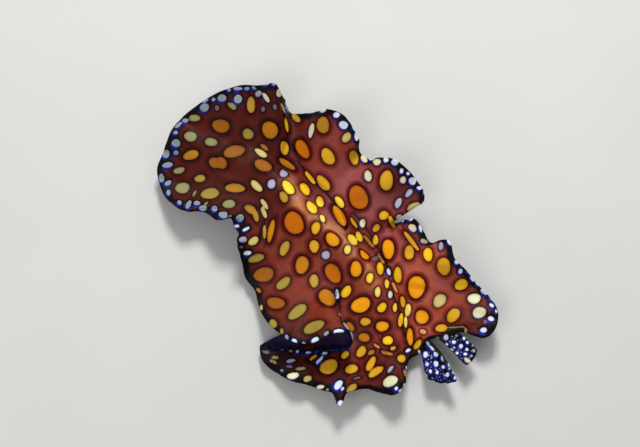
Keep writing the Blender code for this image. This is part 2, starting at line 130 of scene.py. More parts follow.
# %% The stations along the margin
# Each station is the margin's upper edge in mm: towards the worm's left, towards its tail, and up
MARGIN = {
    "head": [
        (-10.9, -24.0, 2.8), (-9.9, -25.7, 4.2), (-7.9, -25.7, 4.2), (-5.7, -24.0, 3.0),
        (-3.7, -22.9, 2.0), (-1.6, -23.2, 1.9), (0.5, -22.7, 2.0), (1.4, -22.9, 1.8),
        (2.0, -23.4, 1.9), (4.5, -24.7, 2.4)],
    "mantle_left_front": [
        (5.5, -25.8, 2.9), (6.0, -27.2, 3.3), (6.8, -28.6, 3.8), (8.4, -28.9, 4.1),
        (11.1, -27.3, 4.0), (12.2, -24.0, 3.6), (11.8, -21.8, 4.6), (11.8, -19.3, 6.0),
        (11.5, -16.9, 7.0), (12.8, -14.0, 7.6), (12.3, -12.9, 6.6), (11.2, -11.9, 5.4),
        (11.3, -10.1, 6.4), (11.8, -7.9, 6.6), (11.5, -6.1, 4.2)],
    "mantle_left_middle": [
        (10.6, -4.3, 1.7), (12.6, -3.9, 2.2), (14.1, -5.0, 3.3), (15.5, -5.9, 4.6),
        (16.5, -5.0, 5.2), (17.0, -2.7, 5.8), (16.7, -0.3, 7.4), (16.2, 1.7, 8.0),
        (15.2, 3.9, 6.8), (14.4, 6.0, 4.2)],
    "mantle_left_rear": [
        (14.4, 7.6, 3.6), (15.1, 8.9, 5.6), (15.4, 10.9, 7.8), (15.3, 13.1, 8.8),
        (14.4, 15.4, 8.4), (13.6, 17.4, 5.8), (12.7, 19.7, 2.8)],
    "tail_left": [
        (11.7, 21.4, 1.7), (11.4, 22.4, 4.4), (11.1, 23.2, 8.0), (10.9, 24.4, 9.4),
        (9.2, 26.2, 8.4), (7.2, 29.2, 6.8)],
    "tail_middle": [
        (4.1, 30.2, 7.4), (0.8, 31.6, 5.6), (-2.9, 32.3, 4.2), (-6.3, 31.1, 5.2)],
    "tail_right": [
        (-9.1, 29.9, 3.4), (-11.5, 28.7, 2.8), (-13.0, 26.3, 2.4), (-14.0, 22.0, 3.8),
        (-13.3, 19.1, 5.0), (-11.4, 17.4, 4.4), (-10.7, 13.8, 6.0)],
    "mantle_right_rear": [
        (-9.2, 12.6, 6.8), (-9.4, 11.8, 6.2), (-9.7, 11.3, 5.2), (-9.8, 10.2, 5.4),
        (-11.1, 9.2, 6.0), (-11.8, 7.9, 5.0), (-12.7, 6.2, 2.8)],
    "mantle_right_middle": [
        (-13.4, 5.0, 2.0), (-13.9, 2.0, 2.4), (-15.2, -0.3, 2.2), (-16.2, -3.0, 3.6)],
    "mantle_right_fold": [
        (-16.4, -6.0, 5.0), (-15.9, -9.2, 5.8), (-14.5, -10.9, 6.0), (-12.7, -12.2, 7.4),
        (-10.6, -13.4, 9.0), (-9.2, -14.5, 9.0), (-9.3, -15.8, 7.0), (-10.2, -15.6, 4.4),
        (-12.2, -13.5, 2.6), (-15.7, -10.5, 2.0), (-17.9, -7.3, 1.6)],
    "mantle_right_front": [
        (-19.2, -5.1, 1.5), (-20.6, -6.9, 1.5), (-20.4, -10.6, 2.0), (-19.7, -13.3, 3.0),
        (-18.2, -15.3, 2.4), (-17.5, -17.3, 3.2), (-16.7, -19.1, 3.8), (-17.4, -21.1, 3.6),
        (-15.5, -20.4, 4.2), (-13.8, -21.1, 4.0), (-11.8, -22.0, 2.0)],
}
# Each tentacle: its root's two stations, and the two corners of its tip
TENTACLES = {
    "tentacle_right": ((5, 6), (-4.4, -27.0, 2.4), (-1.3, -31.3, 3.4)),
    "tentacle_left": ((8, 9), (1.5, -30.0, 2.8), (4.5, -29.5, 3.4)),
}
print("stations:", sum(len(lobe) for lobe in MARGIN.values()))

# %% [markdown]
# A closed curve runs through the stations. Each place on it also needs an angle round the plain
# oval, so that the skin knows which part of the back it grows from. The angle must only rise, even
# where the margin folds back on itself, so it is averaged from a rising and a falling reading and
# then blurred.

# %% The margin as a closed curve
OVAL_CENTRE = (-0.5, 1.0)
OVAL_HALF_WIDTH = 14.5
OVAL_HALF_LENGTH = 24.5
ANGLE_BLUR = 0.012          # in turns, like the search below
ANGLE_SEARCH = (-0.2, 1.2)
RING_SAMPLES = 2048
# The folded lobe grows from nearer to the tail, and the left front corner from nearer to the left
ANGLE_SHIFTS = [(5.2, 0.4, -0.14), (0.36, 0.2, 0.2)]    # angle, its reach, and the shift


def ring_curve(knots, values, at):
    """A closed cubic through the values, whose slope at each is weighted by its spacing."""
    ahead = np.diff(np.append(knots, knots[0] + 1))[:, None]
    behind = np.roll(ahead, 1, 0)
    slope = (np.roll(values, -1, 0) - values) / ahead
    tangent = (slope * behind + np.roll(slope, 1, 0) * ahead) / (ahead + behind)
    at = np.asarray(at) % 1.0
    i = np.clip(np.searchsorted(knots, at, side="right") - 1, 0, len(knots) - 1)
    j = (i + 1) % len(knots)
    span = ahead[i]
    t = ((at - knots[i])[..., None]) / span
    start = (2 * t**3 - 3 * t**2 + 1) * values[i] + (t**3 - 2 * t**2 + t) * span * tangent[i]
    return start + (3 * t**2 - 2 * t**3) * values[j] + (t**3 - t**2) * span * tangent[j]


def blur_ring(table, reach):
    """Smooths samples round a closed ring with a bell curve whose half width is reach."""
    waves = np.arange(len(table) // 2 + 1)[:, None]
    bell = np.exp(-0.5 * (TURN * waves * reach) ** 2)
    return np.fft.irfft(np.fft.rfft(table, axis=0) * bell, n=len(table), axis=0)


def sample_ring(table, u):
    """Reads a ring of samples at u, in straight lines between them."""
    x = (np.asarray(u) % 1.0) * len(table)
    i = np.floor(x).astype(int) % len(table)
    f = (x - np.floor(x))[..., None]
    return table[i] * (1 - f) + table[(i + 1) % len(table)] * f


class Margin:
    """The stations as one closed curve, with the angle round the oval that each place belongs to."""

    def __init__(self, stations):
        """Places round the margin from the distances between stations, angles from the oval."""
        self.points = np.array(stations, float)
        steps = np.linalg.norm(np.roll(self.points, -1, 0) - self.points, axis=1)
        self.length = steps.sum()
        self.knots = np.concatenate([[0.0], np.cumsum(steps)[:-1]]) / self.length
        across = (self.points[:, 0] - OVAL_CENTRE[0]) / OVAL_HALF_WIDTH
        along = -(self.points[:, 1] - OVAL_CENTRE[1]) / OVAL_HALF_LENGTH
        angle = np.unwrap(np.arctan2(across, along))
        angle -= TURN * np.round(angle[0] / TURN)
        rising = np.maximum.accumulate(angle)
        falling = np.minimum.accumulate(angle[::-1])[::-1]
        offset = (rising + falling) / 2 - TURN * self.knots
        ring = np.arange(RING_SAMPLES) / RING_SAMPLES
        table = np.interp(ring, np.append(self.knots, 1.0), np.append(offset, offset[0]))
        self.offset = blur_ring(table[:, None], ANGLE_BLUR)
        even = self.angle(ring)
        for place, reach, shift in ANGLE_SHIFTS:
            self.offset += shift * np.exp(-((even - place) / reach) ** 2)[:, None]

    def place(self, u):
        """The margin's place in mm at u, the share of the way round it."""
        return ring_curve(self.knots, self.points, u)

    def angle(self, u):
        """The angle round the oval at u: a whole turn times u, plus the offset of that place."""
        return sample_ring(self.offset, u)[..., 0] + TURN * np.asarray(u)

    def u_at(self, angle):
        """The place round the margin that belongs to an angle."""
        ring = np.linspace(*ANGLE_SEARCH, 3 * RING_SAMPLES)
        return np.interp(angle, self.angle(ring), ring)


margin = Margin([place for lobe in MARGIN.values() for place in lobe])
print("margin length in mm:", round(margin.length, 1))

# %% [markdown]
# The plain worm is an oval sheet with a ridge. The ridge falls gently to the worm's right and
# steeply to its left, where a crease runs along its foot.

# %% The plain worm
# Lengths and heights are in mm, rises and reaches of the ruffles are in r with a power after them
CREST_HALF_LENGTH = 18.0
CREST_LINE = [(-18.0, -0.2), (-12.0, 1.0), (-7.0, 1.5), (0.0, 1.0), (9.0, 1.0), (18.0, 1.6)]
BACK_HEIGHT = 2.3
OUTWARD_RISE = 0.2
CREST_RISE = 3.0
CREST_FADE_LENGTH = 26.0
RIGHT_SLOPE = 4.6
CREASE_REACH = 3.0
CREASE_TAPER = 0.045
CREASE_DEPTH = 0.75
CREASE_WIDTH = 1.3
SIDE_BLEND = 1.2
RUFFLE_BLUR = 0.03
RUFFLE_LEVELS = 13
RUFFLE_REACH = (0.4, 1.2)
RISE_REACH = (0.1, 1.35)
FOLD_ANGLE = 5.2            # near this angle the height starts more evenly, to keep the fold open
FOLD_SPREAD = 0.55
WALL_ANGLE = 5.13           # where the fold's front wall stands
WALL_SPREAD = 0.35
WALL_START = 0.3            # the r where that wall starts to rise


def crest_x(y):
    """The crest's sideways place: the fourth-degree curve that fits its named points best."""
    line = np.array(CREST_LINE)
    return np.polyval(np.polyfit(line[:, 0], line[:, 1], 4), y)


def plain_worm(angle, r):
    """Place on the floor: from the crest a share r of the way to the oval's rim. Height: the
    mantle's own, plus a bell-shaped flank on the right, and an eased one with a crease on the left."""
    y = -CREST_HALF_LENGTH * np.cos(angle)
    crest = np.stack([crest_x(y), y], -1)
    rim = np.stack([OVAL_CENTRE[0] + OVAL_HALF_WIDTH * np.sin(angle),
                    OVAL_CENTRE[1] - OVAL_HALF_LENGTH * np.cos(angle)], -1)
    away = (rim - crest) * np.asarray(r)[..., None]
    distance = np.linalg.norm(away, axis=-1)
    left = smooth(0.5 + SIDE_BLEND * np.sin(angle))
    right_flank = np.exp(-(distance / RIGHT_SLOPE) ** 2)
    crease = CREASE_REACH + CREASE_TAPER * y
    dip = CREASE_DEPTH / CREST_RISE * np.exp(-((distance - crease) / CREASE_WIDTH) ** 2)
    left_flank = 1 - smooth(distance / crease) - dip
    ridge = right_flank * (1 - left) + left_flank * left
    fade = 1 - (y / CREST_FADE_LENGTH) ** 2
    return crest + away, BACK_HEIGHT + OUTWARD_RISE * r + CREST_RISE * fade * ridge


print("plain worm's height at its middle in mm:", round(float(plain_worm(np.pi / 2, 0.0)[1]), 2))

# %% [markdown]
# The ruffles are what is left when the plain margin is taken from the real one. They fade towards
# the crest, and the small ones fade first, as in a sheet of flesh that is gathered only at its
# edge. Cloth could be simulated for this, but then the ruffles wouldn't stand where the real ones do.

# %% The ruffles
def ruffle_levels():
    """How far the margin departs from the plain worm, blurred more and more towards the crest."""
    ring = np.arange(RING_SAMPLES) / RING_SAMPLES
    rim, height = plain_worm(margin.angle(ring), np.ones(RING_SAMPLES))
    pull = margin.place(ring) - np.concatenate([rim, height[:, None]], axis=1)
    steps = np.linspace(0, 1, RUFFLE_LEVELS)
    return np.array([blur_ring(pull, RUFFLE_BLUR * (1 - r)) for r in steps])


RUFFLES = ruffle_levels()


def ruffle(u, r):
    """Reads the departure at u and r, in straight lines between its levels."""
    y = np.clip(r, 0, 1) * (RUFFLE_LEVELS - 1)
    low = np.minimum(np.floor(y).astype(int), RUFFLE_LEVELS - 2)
    x = (u % 1.0) * RING_SAMPLES
    i = np.floor(x).astype(int) % RING_SAMPLES
    j = (i + 1) % RING_SAMPLES
    fx = (x - np.floor(x))[..., None]
    fy = (y - low)[..., None]
    inner = RUFFLES[low, i] * (1 - fx) + RUFFLES[low, j] * fx
    outer = RUFFLES[low + 1, i] * (1 - fx) + RUFFLES[low + 1, j] * fx
    return inner * (1 - fy) + outer * fy


def upper(u, r):
    """The upper skin: the plain worm, pulled sideways and up by the ruffles as r grows."""
    u, r = np.broadcast_arrays(np.asarray(u, float), np.asarray(r, float))
    angle = margin.angle(u)
    place, height = plain_worm(angle, r)
    pull = ruffle(u, r)
    sideways = np.clip((r - RUFFLE_REACH[0]) / (1 - RUFFLE_REACH[0]), 0, 1) ** RUFFLE_REACH[1]
    near_fold = np.exp(-((angle % TURN - FOLD_ANGLE) / FOLD_SPREAD) ** 2)
    power = RISE_REACH[1] * (1 - near_fold) + near_fold
    at_wall = np.exp(-((angle % TURN - WALL_ANGLE) / WALL_SPREAD) ** 2)
    first = RISE_REACH[0] + (WALL_START - RISE_REACH[0]) * at_wall
    rise = np.clip((r - first) / (1 - first), 0, 1) ** power
    place = place + pull[..., :2] * sideways[..., None]
    return np.concatenate([place, (height + pull[..., 2] * rise)[..., None]], -1)


print("crest height in mm:", round(float(upper(margin.u_at(np.pi / 2), 0.0)[2]), 2))

# %% [markdown]
# The skin is drawn as columns that run from the crest to the margin. Columns are spaced evenly
# along each stretch of the margin, and a tentacle's root gets its own stretch, because the flap
# that grows there is wider than its root. Two columns meet at each crest point, one from each
# side. The rows are closer towards the margin, where the ruffles and the dots are smallest.

# %% Columns and rows
SIDE_COLUMNS = 460
ROOT_COLUMNS = 34
NECK_COLUMNS = 9            # between the two tentacles
UPPER_ROWS = 64
LOWER_ROWS = 28
RIM_ROWS = 5
FLAP_ROWS = 38
FAN_REACH = 0.6             # the r where a column has left its crest angle for its own place
ROW_SPACING = (0.55, 0.45)  # how even the rows are, and how much they crowd to the margin


def root_knots(name):
    """The places round the margin where a tentacle's root starts and ends."""
    first, last = TENTACLES[name][0]
    return margin.knots[first], margin.knots[last]


def margin_columns():
    """Places round the margin, evenly spaced in stretches that start and end at the roots."""
    right_root = root_knots("tentacle_right")
    left_root = root_knots("tentacle_left")
    front, tail = margin.u_at(0.0), margin.u_at(np.pi)
    share = (right_root[1] - front) / (right_root[1] - right_root[0])
    left_part = round(ROOT_COLUMNS * share)
    right_part = ROOT_COLUMNS - left_part
    stretches = [
        (front, right_root[1], left_part), (right_root[1], left_root[0], NECK_COLUMNS),
        (*left_root, ROOT_COLUMNS),
        (left_root[1], tail, SIDE_COLUMNS - left_part - NECK_COLUMNS - ROOT_COLUMNS),
        (tail, right_root[0] + 1, SIDE_COLUMNS - right_part),
        (right_root[0] + 1, front + 1, right_part)]
    places = np.concatenate([np.linspace(a, b, n, endpoint=False) for a, b, n in stretches])
    roots = {"tentacle_right": np.arange(-right_part, left_part + 1),
             "tentacle_left": left_part + NECK_COLUMNS + np.arange(ROOT_COLUMNS + 1)}
    return places, roots


COLUMN_U, ROOTS = margin_columns()
COLUMNS = len(COLUMN_U)
column_angle = margin.angle(COLUMN_U)
crest_angle = (column_angle + TURN - column_angle[::-1]) / 2
CREST_U = margin.u_at(crest_angle)


def column_grid(r):
    """The u of every column at every r: eased from its crest place to its place on the margin."""
    share = smooth(r / FAN_REACH)[None, :]
    return CREST_U[:, None] + (COLUMN_U - CREST_U)[:, None] * share


out = np.linspace(0, 1, UPPER_ROWS + 1)
UPPER_R = 1 - (1 - out) * (ROW_SPACING[0] + ROW_SPACING[1] * (1 - out))
LOWER_R = np.linspace(0, 1, LOWER_ROWS + 1)
print("columns:", COLUMNS, "rows:", UPPER_ROWS, "upper,", LOWER_ROWS, "lower")

# %% [markdown]
# Real skin isn't as smooth as a formula. The free edge has a fine frill, a few waves to each
# ruffle, and the whole sheet swells a little where it is muscular. Waves that go a whole number of
# times round the margin close up without a seam. They push the skin along its own upright, and
# the under side is pushed by the same amount so that the sheet keeps its thickness.

# %% The fine frill
FRILL_WAVES = [(67, 0.10, 0.3), (101, 0.09, 1.9), (149, 0.055, 4.1)]    # times round, mm, start
FRILL_REACH = 0.26          # in r, from the margin inwards
FRILL_POWER = 1.5           # how late it grows towards the margin
FRILL_SWAY = (0.65, 0.35, 9, 1.0)       # its mean, how far it comes and goes, times round, start
SWELL_WAVES = [(23, 9.0, 0.07, 0.5), (31, 14.0, 0.05, 2.2), (47, 21.0, 0.035, 3.7)]
SWELL_RISE = (0.25, 0.35)   # the r where the swells start, and how much r they take to grow
SLOPE_STEP = 0.01           # in r
SLOPE_START = 0.001         # the least r that a slope is taken from
SLOPE_REACH = (0.004, 0.02)     # in turns: at the margin, and how much more at the crest
SHEET_LIFT = 0.6            # how far the upright leans to the sky


def upright(u, r):
    """The skin's upright: across its slope along r and along u, leaning a little to the sky."""
    reach = SLOPE_REACH[0] + SLOPE_REACH[1] * (1 - r)
    inner = np.clip(r - SLOPE_STEP, SLOPE_START, 1)
    outer = np.clip(r + SLOPE_STEP, SLOPE_START, 1)
    clear = np.maximum(r, 2 * SLOPE_STEP)
    along_r = upper(u, outer) - upper(u, inner)
    along_u = upper(u + reach, clear) - upper(u - reach, clear)
    return unit(unit(np.cross(along_r, along_u)) + np.array([0, 0, SHEET_LIFT]))


def frill(u, r):
    """A sum of sines round the margin that dies away inwards, and slower swells over the sheet."""
    edge = np.clip(1 - (1 - r) / FRILL_REACH, 0, 1) ** FRILL_POWER
    mean, change, sways, sway_start = FRILL_SWAY
    sway = mean + change * np.sin(TURN * sways * u + sway_start)
    height = sum(size * np.sin(TURN * times * u + start) for times, size, start in FRILL_WAVES)
    height = height * edge * sway
    free = smooth((r - SWELL_RISE[0]) / SWELL_RISE[1])
    for times, tilt, size, start in SWELL_WAVES:
        height = height + size * free * np.sin(TURN * times * u + tilt * r + start)
    return height


print("frill at most, mm:", round(float(np.abs(frill(COLUMN_U, np.ones(COLUMNS))).max()), 2))

# %% [markdown]
# A few creases cross the skin: two along the left foot of the ridge, one where the folded lobe
# turns over, one behind the left middle and one at the right rear curl. Each is a path that is read
# in the picture. Its places are found on the skin as the points nearest to the camera there, and
# the skin sinks by a bell of the distance to the path. The path sinks with it, and later a dark
# line of painted shade, the shade that falls into the groove, is laid by the distance to the sunken path.

# %% The creases
# Places in the picture, depth and half width in mm, and how dark the line of painted shade is, from 0 to 1
CREASES = {
    "left of the lower ridge": ([(352, 212), (362, 224), (372, 240), (384, 262), (392, 280), (397, 300),
                                 (403, 318), (406, 335)], 0.34, 0.36, 0.75),
    "left of the ridge": ([(296, 160), (309, 180), (322, 190), (333, 203), (341, 216), (346, 228)],
                          0.28, 0.36, 0.8),
    "behind the left middle": ([(281, 95), (286, 118), (290, 135), (293, 150)], 0.25, 0.36, 0.8),
    "right rear curl": ([(261, 198), (261.5, 208), (264.5, 220), (261.5, 229), (261, 241)], 0.15, 0.32, 0.9),
    "fold": ([(334, 289), (338, 300), (340, 312), (344, 322), (350, 331), (353, 340), (350, 348)],
             0.20, 0.26, 1.0),
}
# The colour of the painted shade laid softly along each crease
CREASE_SHADE = (40, 14, 26)
CREASE_GRID = (1400, 160)   # columns and rows of the grid that the paths are looked up on
CREASE_GRID_START = 0.02    # the r where that grid starts
CREASE_STEP = 3.0           # picture units between the places that make up a path
CREASE_NEAR = 1.6           # picture units from such a place to the points that count as seen there
FAR = 1e9                   # farther than anything here


def crease_paths():
    """Each crease as places in space: on a fine grid of the skin, the nearest to the camera at
    every step of its path in the picture. With them go the same places once the skin has sunk."""
    grid_u, grid_r = np.meshgrid(np.arange(CREASE_GRID[0]) / CREASE_GRID[0],
                                 np.linspace(CREASE_GRID_START, 1, CREASE_GRID[1]), indexing="ij")
    cloud = upper(grid_u, grid_r).reshape(-1, 3)
    grid_u, grid_r = grid_u.ravel(), grid_r.ravel()
    across, down, depth = in_picture(cloud)
    paths = {}
    sunken = {}
    for name, (corners, deep, *_) in CREASES.items():
        corners = np.array(corners, float)
        steps = np.append(0, np.cumsum(np.linalg.norm(np.diff(corners, axis=0), axis=1)))
        at = np.linspace(0, steps[-1], int(steps[-1] / CREASE_STEP) + 2)
        picks = []
        for x, y in zip(np.interp(at, steps, corners[:, 0]), np.interp(at, steps, corners[:, 1])):
            near = np.flatnonzero(np.hypot(across - x, down - y) < CREASE_NEAR)
            if near.size:
                picks.append(near[np.argmin(depth[near])])
        paths[name] = cloud[picks]
        sunken[name] = cloud[picks] - deep * upright(grid_u[picks], grid_r[picks])
    return paths, sunken


CREASE_PATHS, SUNKEN_PATHS = crease_paths()


def from_path(path, places):
    """Distance in mm from each place to the nearest piece of a path."""
    nearest = np.full(places.shape[:-1], FAR)
    for start, end in zip(path[:-1], path[1:]):
        way = end - start
        share = np.clip(((places - start) @ way) / max(way @ way, TINY), 0, 1)
        nearest = np.minimum(nearest, np.linalg.norm(places - start - share[..., None] * way, axis=-1))
    return nearest


def crease_relief(places):
    """How far the skin sinks: the sum of a bell over the distance to each crease."""
    relief = np.zeros(places.shape[:-1])
    for name, (_, deep, wide, *_) in CREASES.items():
        relief = relief + deep * np.exp(-(from_path(CREASE_PATHS[name], places) / wide) ** 2)
    return relief


def skin_top(u, r):
    """The upper skin with its frill and its creases."""
    plain = upper(u, r)
    return plain + upright(u, r) * (frill(u, r) - crease_relief(plain))[..., None]


print("places on each crease:", {name: len(path) for name, path in CREASE_PATHS.items()})

# %% [markdown]
# The under side is a flat sole below the back, on which the worm creeps, and a thin sheet further
# out. Below the sheet it is the upper skin moved down along the upright by the thickness. The
# mouth and the sucker are two small pits in the sole. They open downwards, so nothing reaches
# below the floor.

# %% The under side
SHEET = 0.9                 # mm thick near the back
RIM_THICKNESS = 0.34        # mm at the margin
SOLE_REACH = 0.30           # the r up to which the sole is flat on the floor
SHEET_REACH = 0.50          # the r from which the sheet is free
# Pits of the sole: x, y, half width, half length, depth
PITS = {"mouth": (0.6, -9.0, 0.55, 1.1, 0.7), "sucker": (1.0, 3.5, 0.6, 0.6, 0.4)}


def skin_bottom(u, r):
    """A flat sole out to one r, the sheet's under side from another, and a blend between."""
    top = skin_top(u, r)
    thickness = SHEET + (RIM_THICKNESS - SHEET) * smooth(r)
    sheet = top - upright(u, r) * thickness[..., None]
    sole = top * np.array([1, 1, 0])
    for x, y, wide, long, depth in PITS.values():
        away = ((top[..., 0] - x) / wide) ** 2 + ((top[..., 1] - y) / long) ** 2
        sole[..., 2] += depth * np.exp(-away ** 2)
    free = smooth((r - SOLE_REACH) / (SHEET_REACH - SOLE_REACH))[..., None]
    under = sole * (1 - free) + sheet * free
    under[..., 2] = np.maximum(under[..., 2], 0)
    return under


sole_edge = skin_bottom(COLUMN_U, np.full(COLUMNS, SOLE_REACH))
print("sole's edge above the floor in mm:", round(float(sole_edge[:, 2].min()), 3))

# %% [markdown]
# A tentacle is a square flap of the margin itself, not a stalk, so its skin goes on from the
# margin's last row. Its length follows a curve that leaves the margin in the sheet's own direction
# and ends at the tip. Its sides curl up, its edge is wavy and its corners are rounded.

# %% The tentacles
FLAP_CUP = 0.75             # how far the sides curl up, mm
FLAP_CUP_EASE = 1.6         # the curl is greatest at half this share of the length
FLAP_CORNER = (0.14, 5)     # how much of the width the corners take at the tip, and how late
FLAP_TIP = 0.06             # how much shorter the sides are than the middle, as a share
FLAP_WAVES = [(1.5, 0.26, 0.0), (3.5, 0.10, 1.2)]       # waves across, mm, start
FLAP_START = 0.8            # how strongly the flap keeps the margin's own direction
FLAP_RIPPLE = (0.10, 5, 0.7)    # of its outer edge: mm, waves across, start
FLAP_SWELL = (0.05, 4)      # of its length: mm at the tip, waves
FLAP_INSIDE = 0.97          # the r that gives the sheet's own direction at the margin
FLAP_MATCH = 0.35           # the share of the length where the margin's thickness gives way
SMALL = 0.02                # a step for slopes, in shares of the flap


def flap_top(name, a, b):
    """a goes across the flap, b from the margin to the tip. The place is the root's plus b times
    the way to the tip, plus a bend that is strongest near the root, plus the curl and the waves."""
    first, last = root_knots(name)
    tip_a, tip_b = (np.array(corner) for corner in TENTACLES[name][1:])
    u = first + (last - first) * np.clip(a, 0, 1)
    root = skin_top(u, np.ones_like(u))
    inside = skin_top(u, np.full_like(u, FLAP_INSIDE))
    spread = 0.5 + (a - 0.5) * (1 - FLAP_CORNER[0] * b ** FLAP_CORNER[1])
    tip = tip_a + (tip_b - tip_a) * spread[..., None]
    way = tip - root
    length = np.linalg.norm(way, axis=-1, keepdims=True)
    bend = unit(root - inside) * length - way
    rounded = 1 - FLAP_TIP * (2 * a - 1) ** 4 * smooth(b)
    b_grow = (b * rounded)[..., None]
    skin = root + way * b_grow + bend * FLAP_START * b_grow * (1 - b_grow) ** 2
    curl = FLAP_CUP * (2 * a - 1) ** 2 * b * (FLAP_CUP_EASE - b)
    for times, size, start in FLAP_WAVES:
        curl = curl + size * b * np.sin(TURN * times * a + start)
    size, times, start = FLAP_RIPPLE
    curl = curl + size * b ** 3 * np.sin(TURN * times * a + start)
    size, times = FLAP_SWELL
    curl = curl + size * b * np.sin(TURN * times * b)
    skin[..., 2] += curl
    return skin


def flap_bottom(name, a, b):
    """The same flap, one thickness lower along its own upright, matched to the margin at the root."""
    along_a = flap_top(name, a + SMALL, b) - flap_top(name, a - SMALL, b)
    along_b = flap_top(name, a, b + SMALL) - flap_top(name, a, b - SMALL)
    down = unit(np.cross(along_b, along_a))
    skin = flap_top(name, a, b) - down * RIM_THICKNESS
    first, last = root_knots(name)
    u = first + (last - first) * a
    root = skin_bottom(u, np.ones_like(u))
    blend = (1 - smooth(b / FLAP_MATCH))[..., None]
    start = flap_top(name, a, np.zeros_like(b))
    return skin * (1 - blend) + (flap_top(name, a, b) + root - start) * blend


for name in TENTACLES:
    base, tip = flap_top(name, np.full(2, 0.5), np.array([0.0, 1.0]))
    print(name, "is", round(float(np.linalg.norm(tip - base)), 1), "mm long")

# %% [markdown]
# Now the pieces are put on one list of points: the upper grid, the lower grid, the flaps' two
# faces and the rounded rim. A grid of point numbers goes with each, so that faces can be made by
# taking four neighbours of a grid at a time. Where two pieces meet they use the same numbers, and
# so the skin is closed without any merging.

# %% Points of the skin
class Sheet:
    """Gathers points and quads, and hands out a grid of numbers for each piece."""

    def __init__(self):
        """No points and no faces yet."""
        self.points = []
        self.count = 0
        self.quads = []

    def add(self, points):
        """Takes a grid of points and hands back the grid of their numbers."""
        numbers = np.arange(self.count, self.count + points[..., 0].size)
        self.points.append(points.reshape(-1, 3))
        self.count += numbers.size
        return numbers.reshape(points.shape[:-1])

    def face(self, grid, turned_over=False):
        """Quads of a grid whose first way is anticlockwise round the worm and second is outward."""
        quads = np.stack([grid[:-1, :-1], grid[:-1, 1:], grid[1:, 1:], grid[1:, :-1]], -1)
        quads = quads.reshape(-1, 4)
        self.quads.append(quads[:, ::-1] if turned_over else quads)


def body_layer(sheet, skin, rows):
    """One layer of the body: crest points that two columns share, then each column's own points."""
    half = COLUMNS // 2
    grid_u = column_grid(rows)
    grid_r = np.broadcast_to(rows, grid_u.shape)
    crest = sheet.add(skin(grid_u[:half, 0], grid_r[:half, 0]))
    outer = sheet.add(skin(grid_u[:, 1:], grid_r[:, 1:]))
    return np.concatenate([np.append(crest, crest[::-1])[:, None], outer], axis=1)


sheet = Sheet()
top = body_layer(sheet, skin_top, UPPER_R)
bottom = body_layer(sheet, skin_bottom, LOWER_R)
sheet.face(np.vstack([top, top[:1]]))
sheet.face(np.vstack([bottom, bottom[:1]]), turned_over=True)

flap_b = np.linspace(0, 1, FLAP_ROWS + 1)[1:]
flap_a = np.linspace(0, 1, ROOT_COLUMNS + 1)
flaps = {}
for name, columns in ROOTS.items():
    a, b = np.meshgrid(flap_a, flap_b, indexing="ij")
    flap_upper = sheet.add(flap_top(name, a, b))
    flap_lower = sheet.add(flap_bottom(name, a, b))
    flap_upper = np.concatenate([top[columns, -1:], flap_upper], axis=1)
    flap_lower = np.concatenate([bottom[columns, -1:], flap_lower], axis=1)
    sheet.face(flap_upper)
    sheet.face(flap_lower, turned_over=True)
    flaps[name] = (flap_upper, flap_lower)
print("points so far:", sheet.count)

# %% [markdown]
# The rim is the rounded edge of the sheet. It follows one loop round the whole animal, out along
# each side of a tentacle and across its tip. At every point of the loop it is a half circle that
# stands on the line between the upper and the lower edge and bulges outwards.

# %% The rim
def outline(layer, side):
    """The loop of edge numbers: the margin, with each flap's two sides and tip put in."""
    right, left = (flaps[name][side] for name in ("tentacle_right", "tentacle_left"))
    after_right, left_columns = ROOTS["tentacle_right"][-1], ROOTS["tentacle_left"]
    before_right = COLUMNS + ROOTS["tentacle_right"][0]

    def round_flap(grid):
        """Out along one side of a flap, across its tip and back along the other side."""
        return [grid[0, 1:], grid[1:-1, -1], grid[-1, :0:-1]]
    pieces = [layer[after_right:left_columns[0] + 1, -1], *round_flap(left),
              layer[left_columns[-1]:before_right + 1, -1], *round_flap(right)]
    return np.concatenate(pieces)


upper_edge = outline(top, 0)
lower_edge = outline(bottom, 1)
points = np.concatenate(sheet.points)
high, low = points[upper_edge], points[lower_edge]
middle, half_up = (high + low) / 2, (high - low) / 2
tangent = np.roll(middle, -2, 0) - np.roll(middle, 2, 0)
outward = unit(np.cross(tangent, half_up)) * np.linalg.norm(half_up, axis=1, keepdims=True)
rim_angle = np.pi * np.arange(1, RIM_ROWS) / RIM_ROWS
rim_points = (middle[:, None] + half_up[:, None] * np.cos(rim_angle)[None, :, None]
              + outward[:, None] * np.sin(rim_angle)[None, :, None])
rim = sheet.add(rim_points)
rim_grid = np.concatenate([upper_edge[:, None], rim, lower_edge[:, None]], axis=1)
sheet.face(np.vstack([rim_grid, rim_grid[:1]]))
points = np.concatenate(sheet.points)
quads = np.concatenate(sheet.quads)
print("points:", len(points), "quads:", len(quads), "rim loop:", len(upper_edge))

# %% [markdown]
# Painting needs to know a few things about every point: which way the skin faces there, how far
# it is from the margin, whether it is on the under side, and whether the camera sees it. Distance
# from the margin is added up along each column. For sight, the picture is divided into small
# cells, and only the points that are nearly the nearest in their cell are seen.

# %% What every point knows
SIGHT_CELL = 2.5            # picture units
SIGHT_CELLS = 1000          # numbers for each row of cells, more than the picture needs
SIGHT_DEPTH = 1.0           # mm
SIGHT_TILT = 0.08           # the least that the skin's upright points to the camera
RIM_UNDER = (-0.3, 1.0)     # how far the rim counts as under side, from its top to its bottom
FLAP_BLACK_ROWS = 4         # rows over which the margin turns into the black of a flap


def point_normals():
    """The mean direction of the faces round each point, each weighted by its area."""
    corners = points[quads]
    across = np.cross(corners[:, 2] - corners[:, 0], corners[:, 3] - corners[:, 1])
    total = np.zeros_like(points)
    for corner in range(4):
        np.add.at(total, quads[:, corner], across)
    return unit(total)


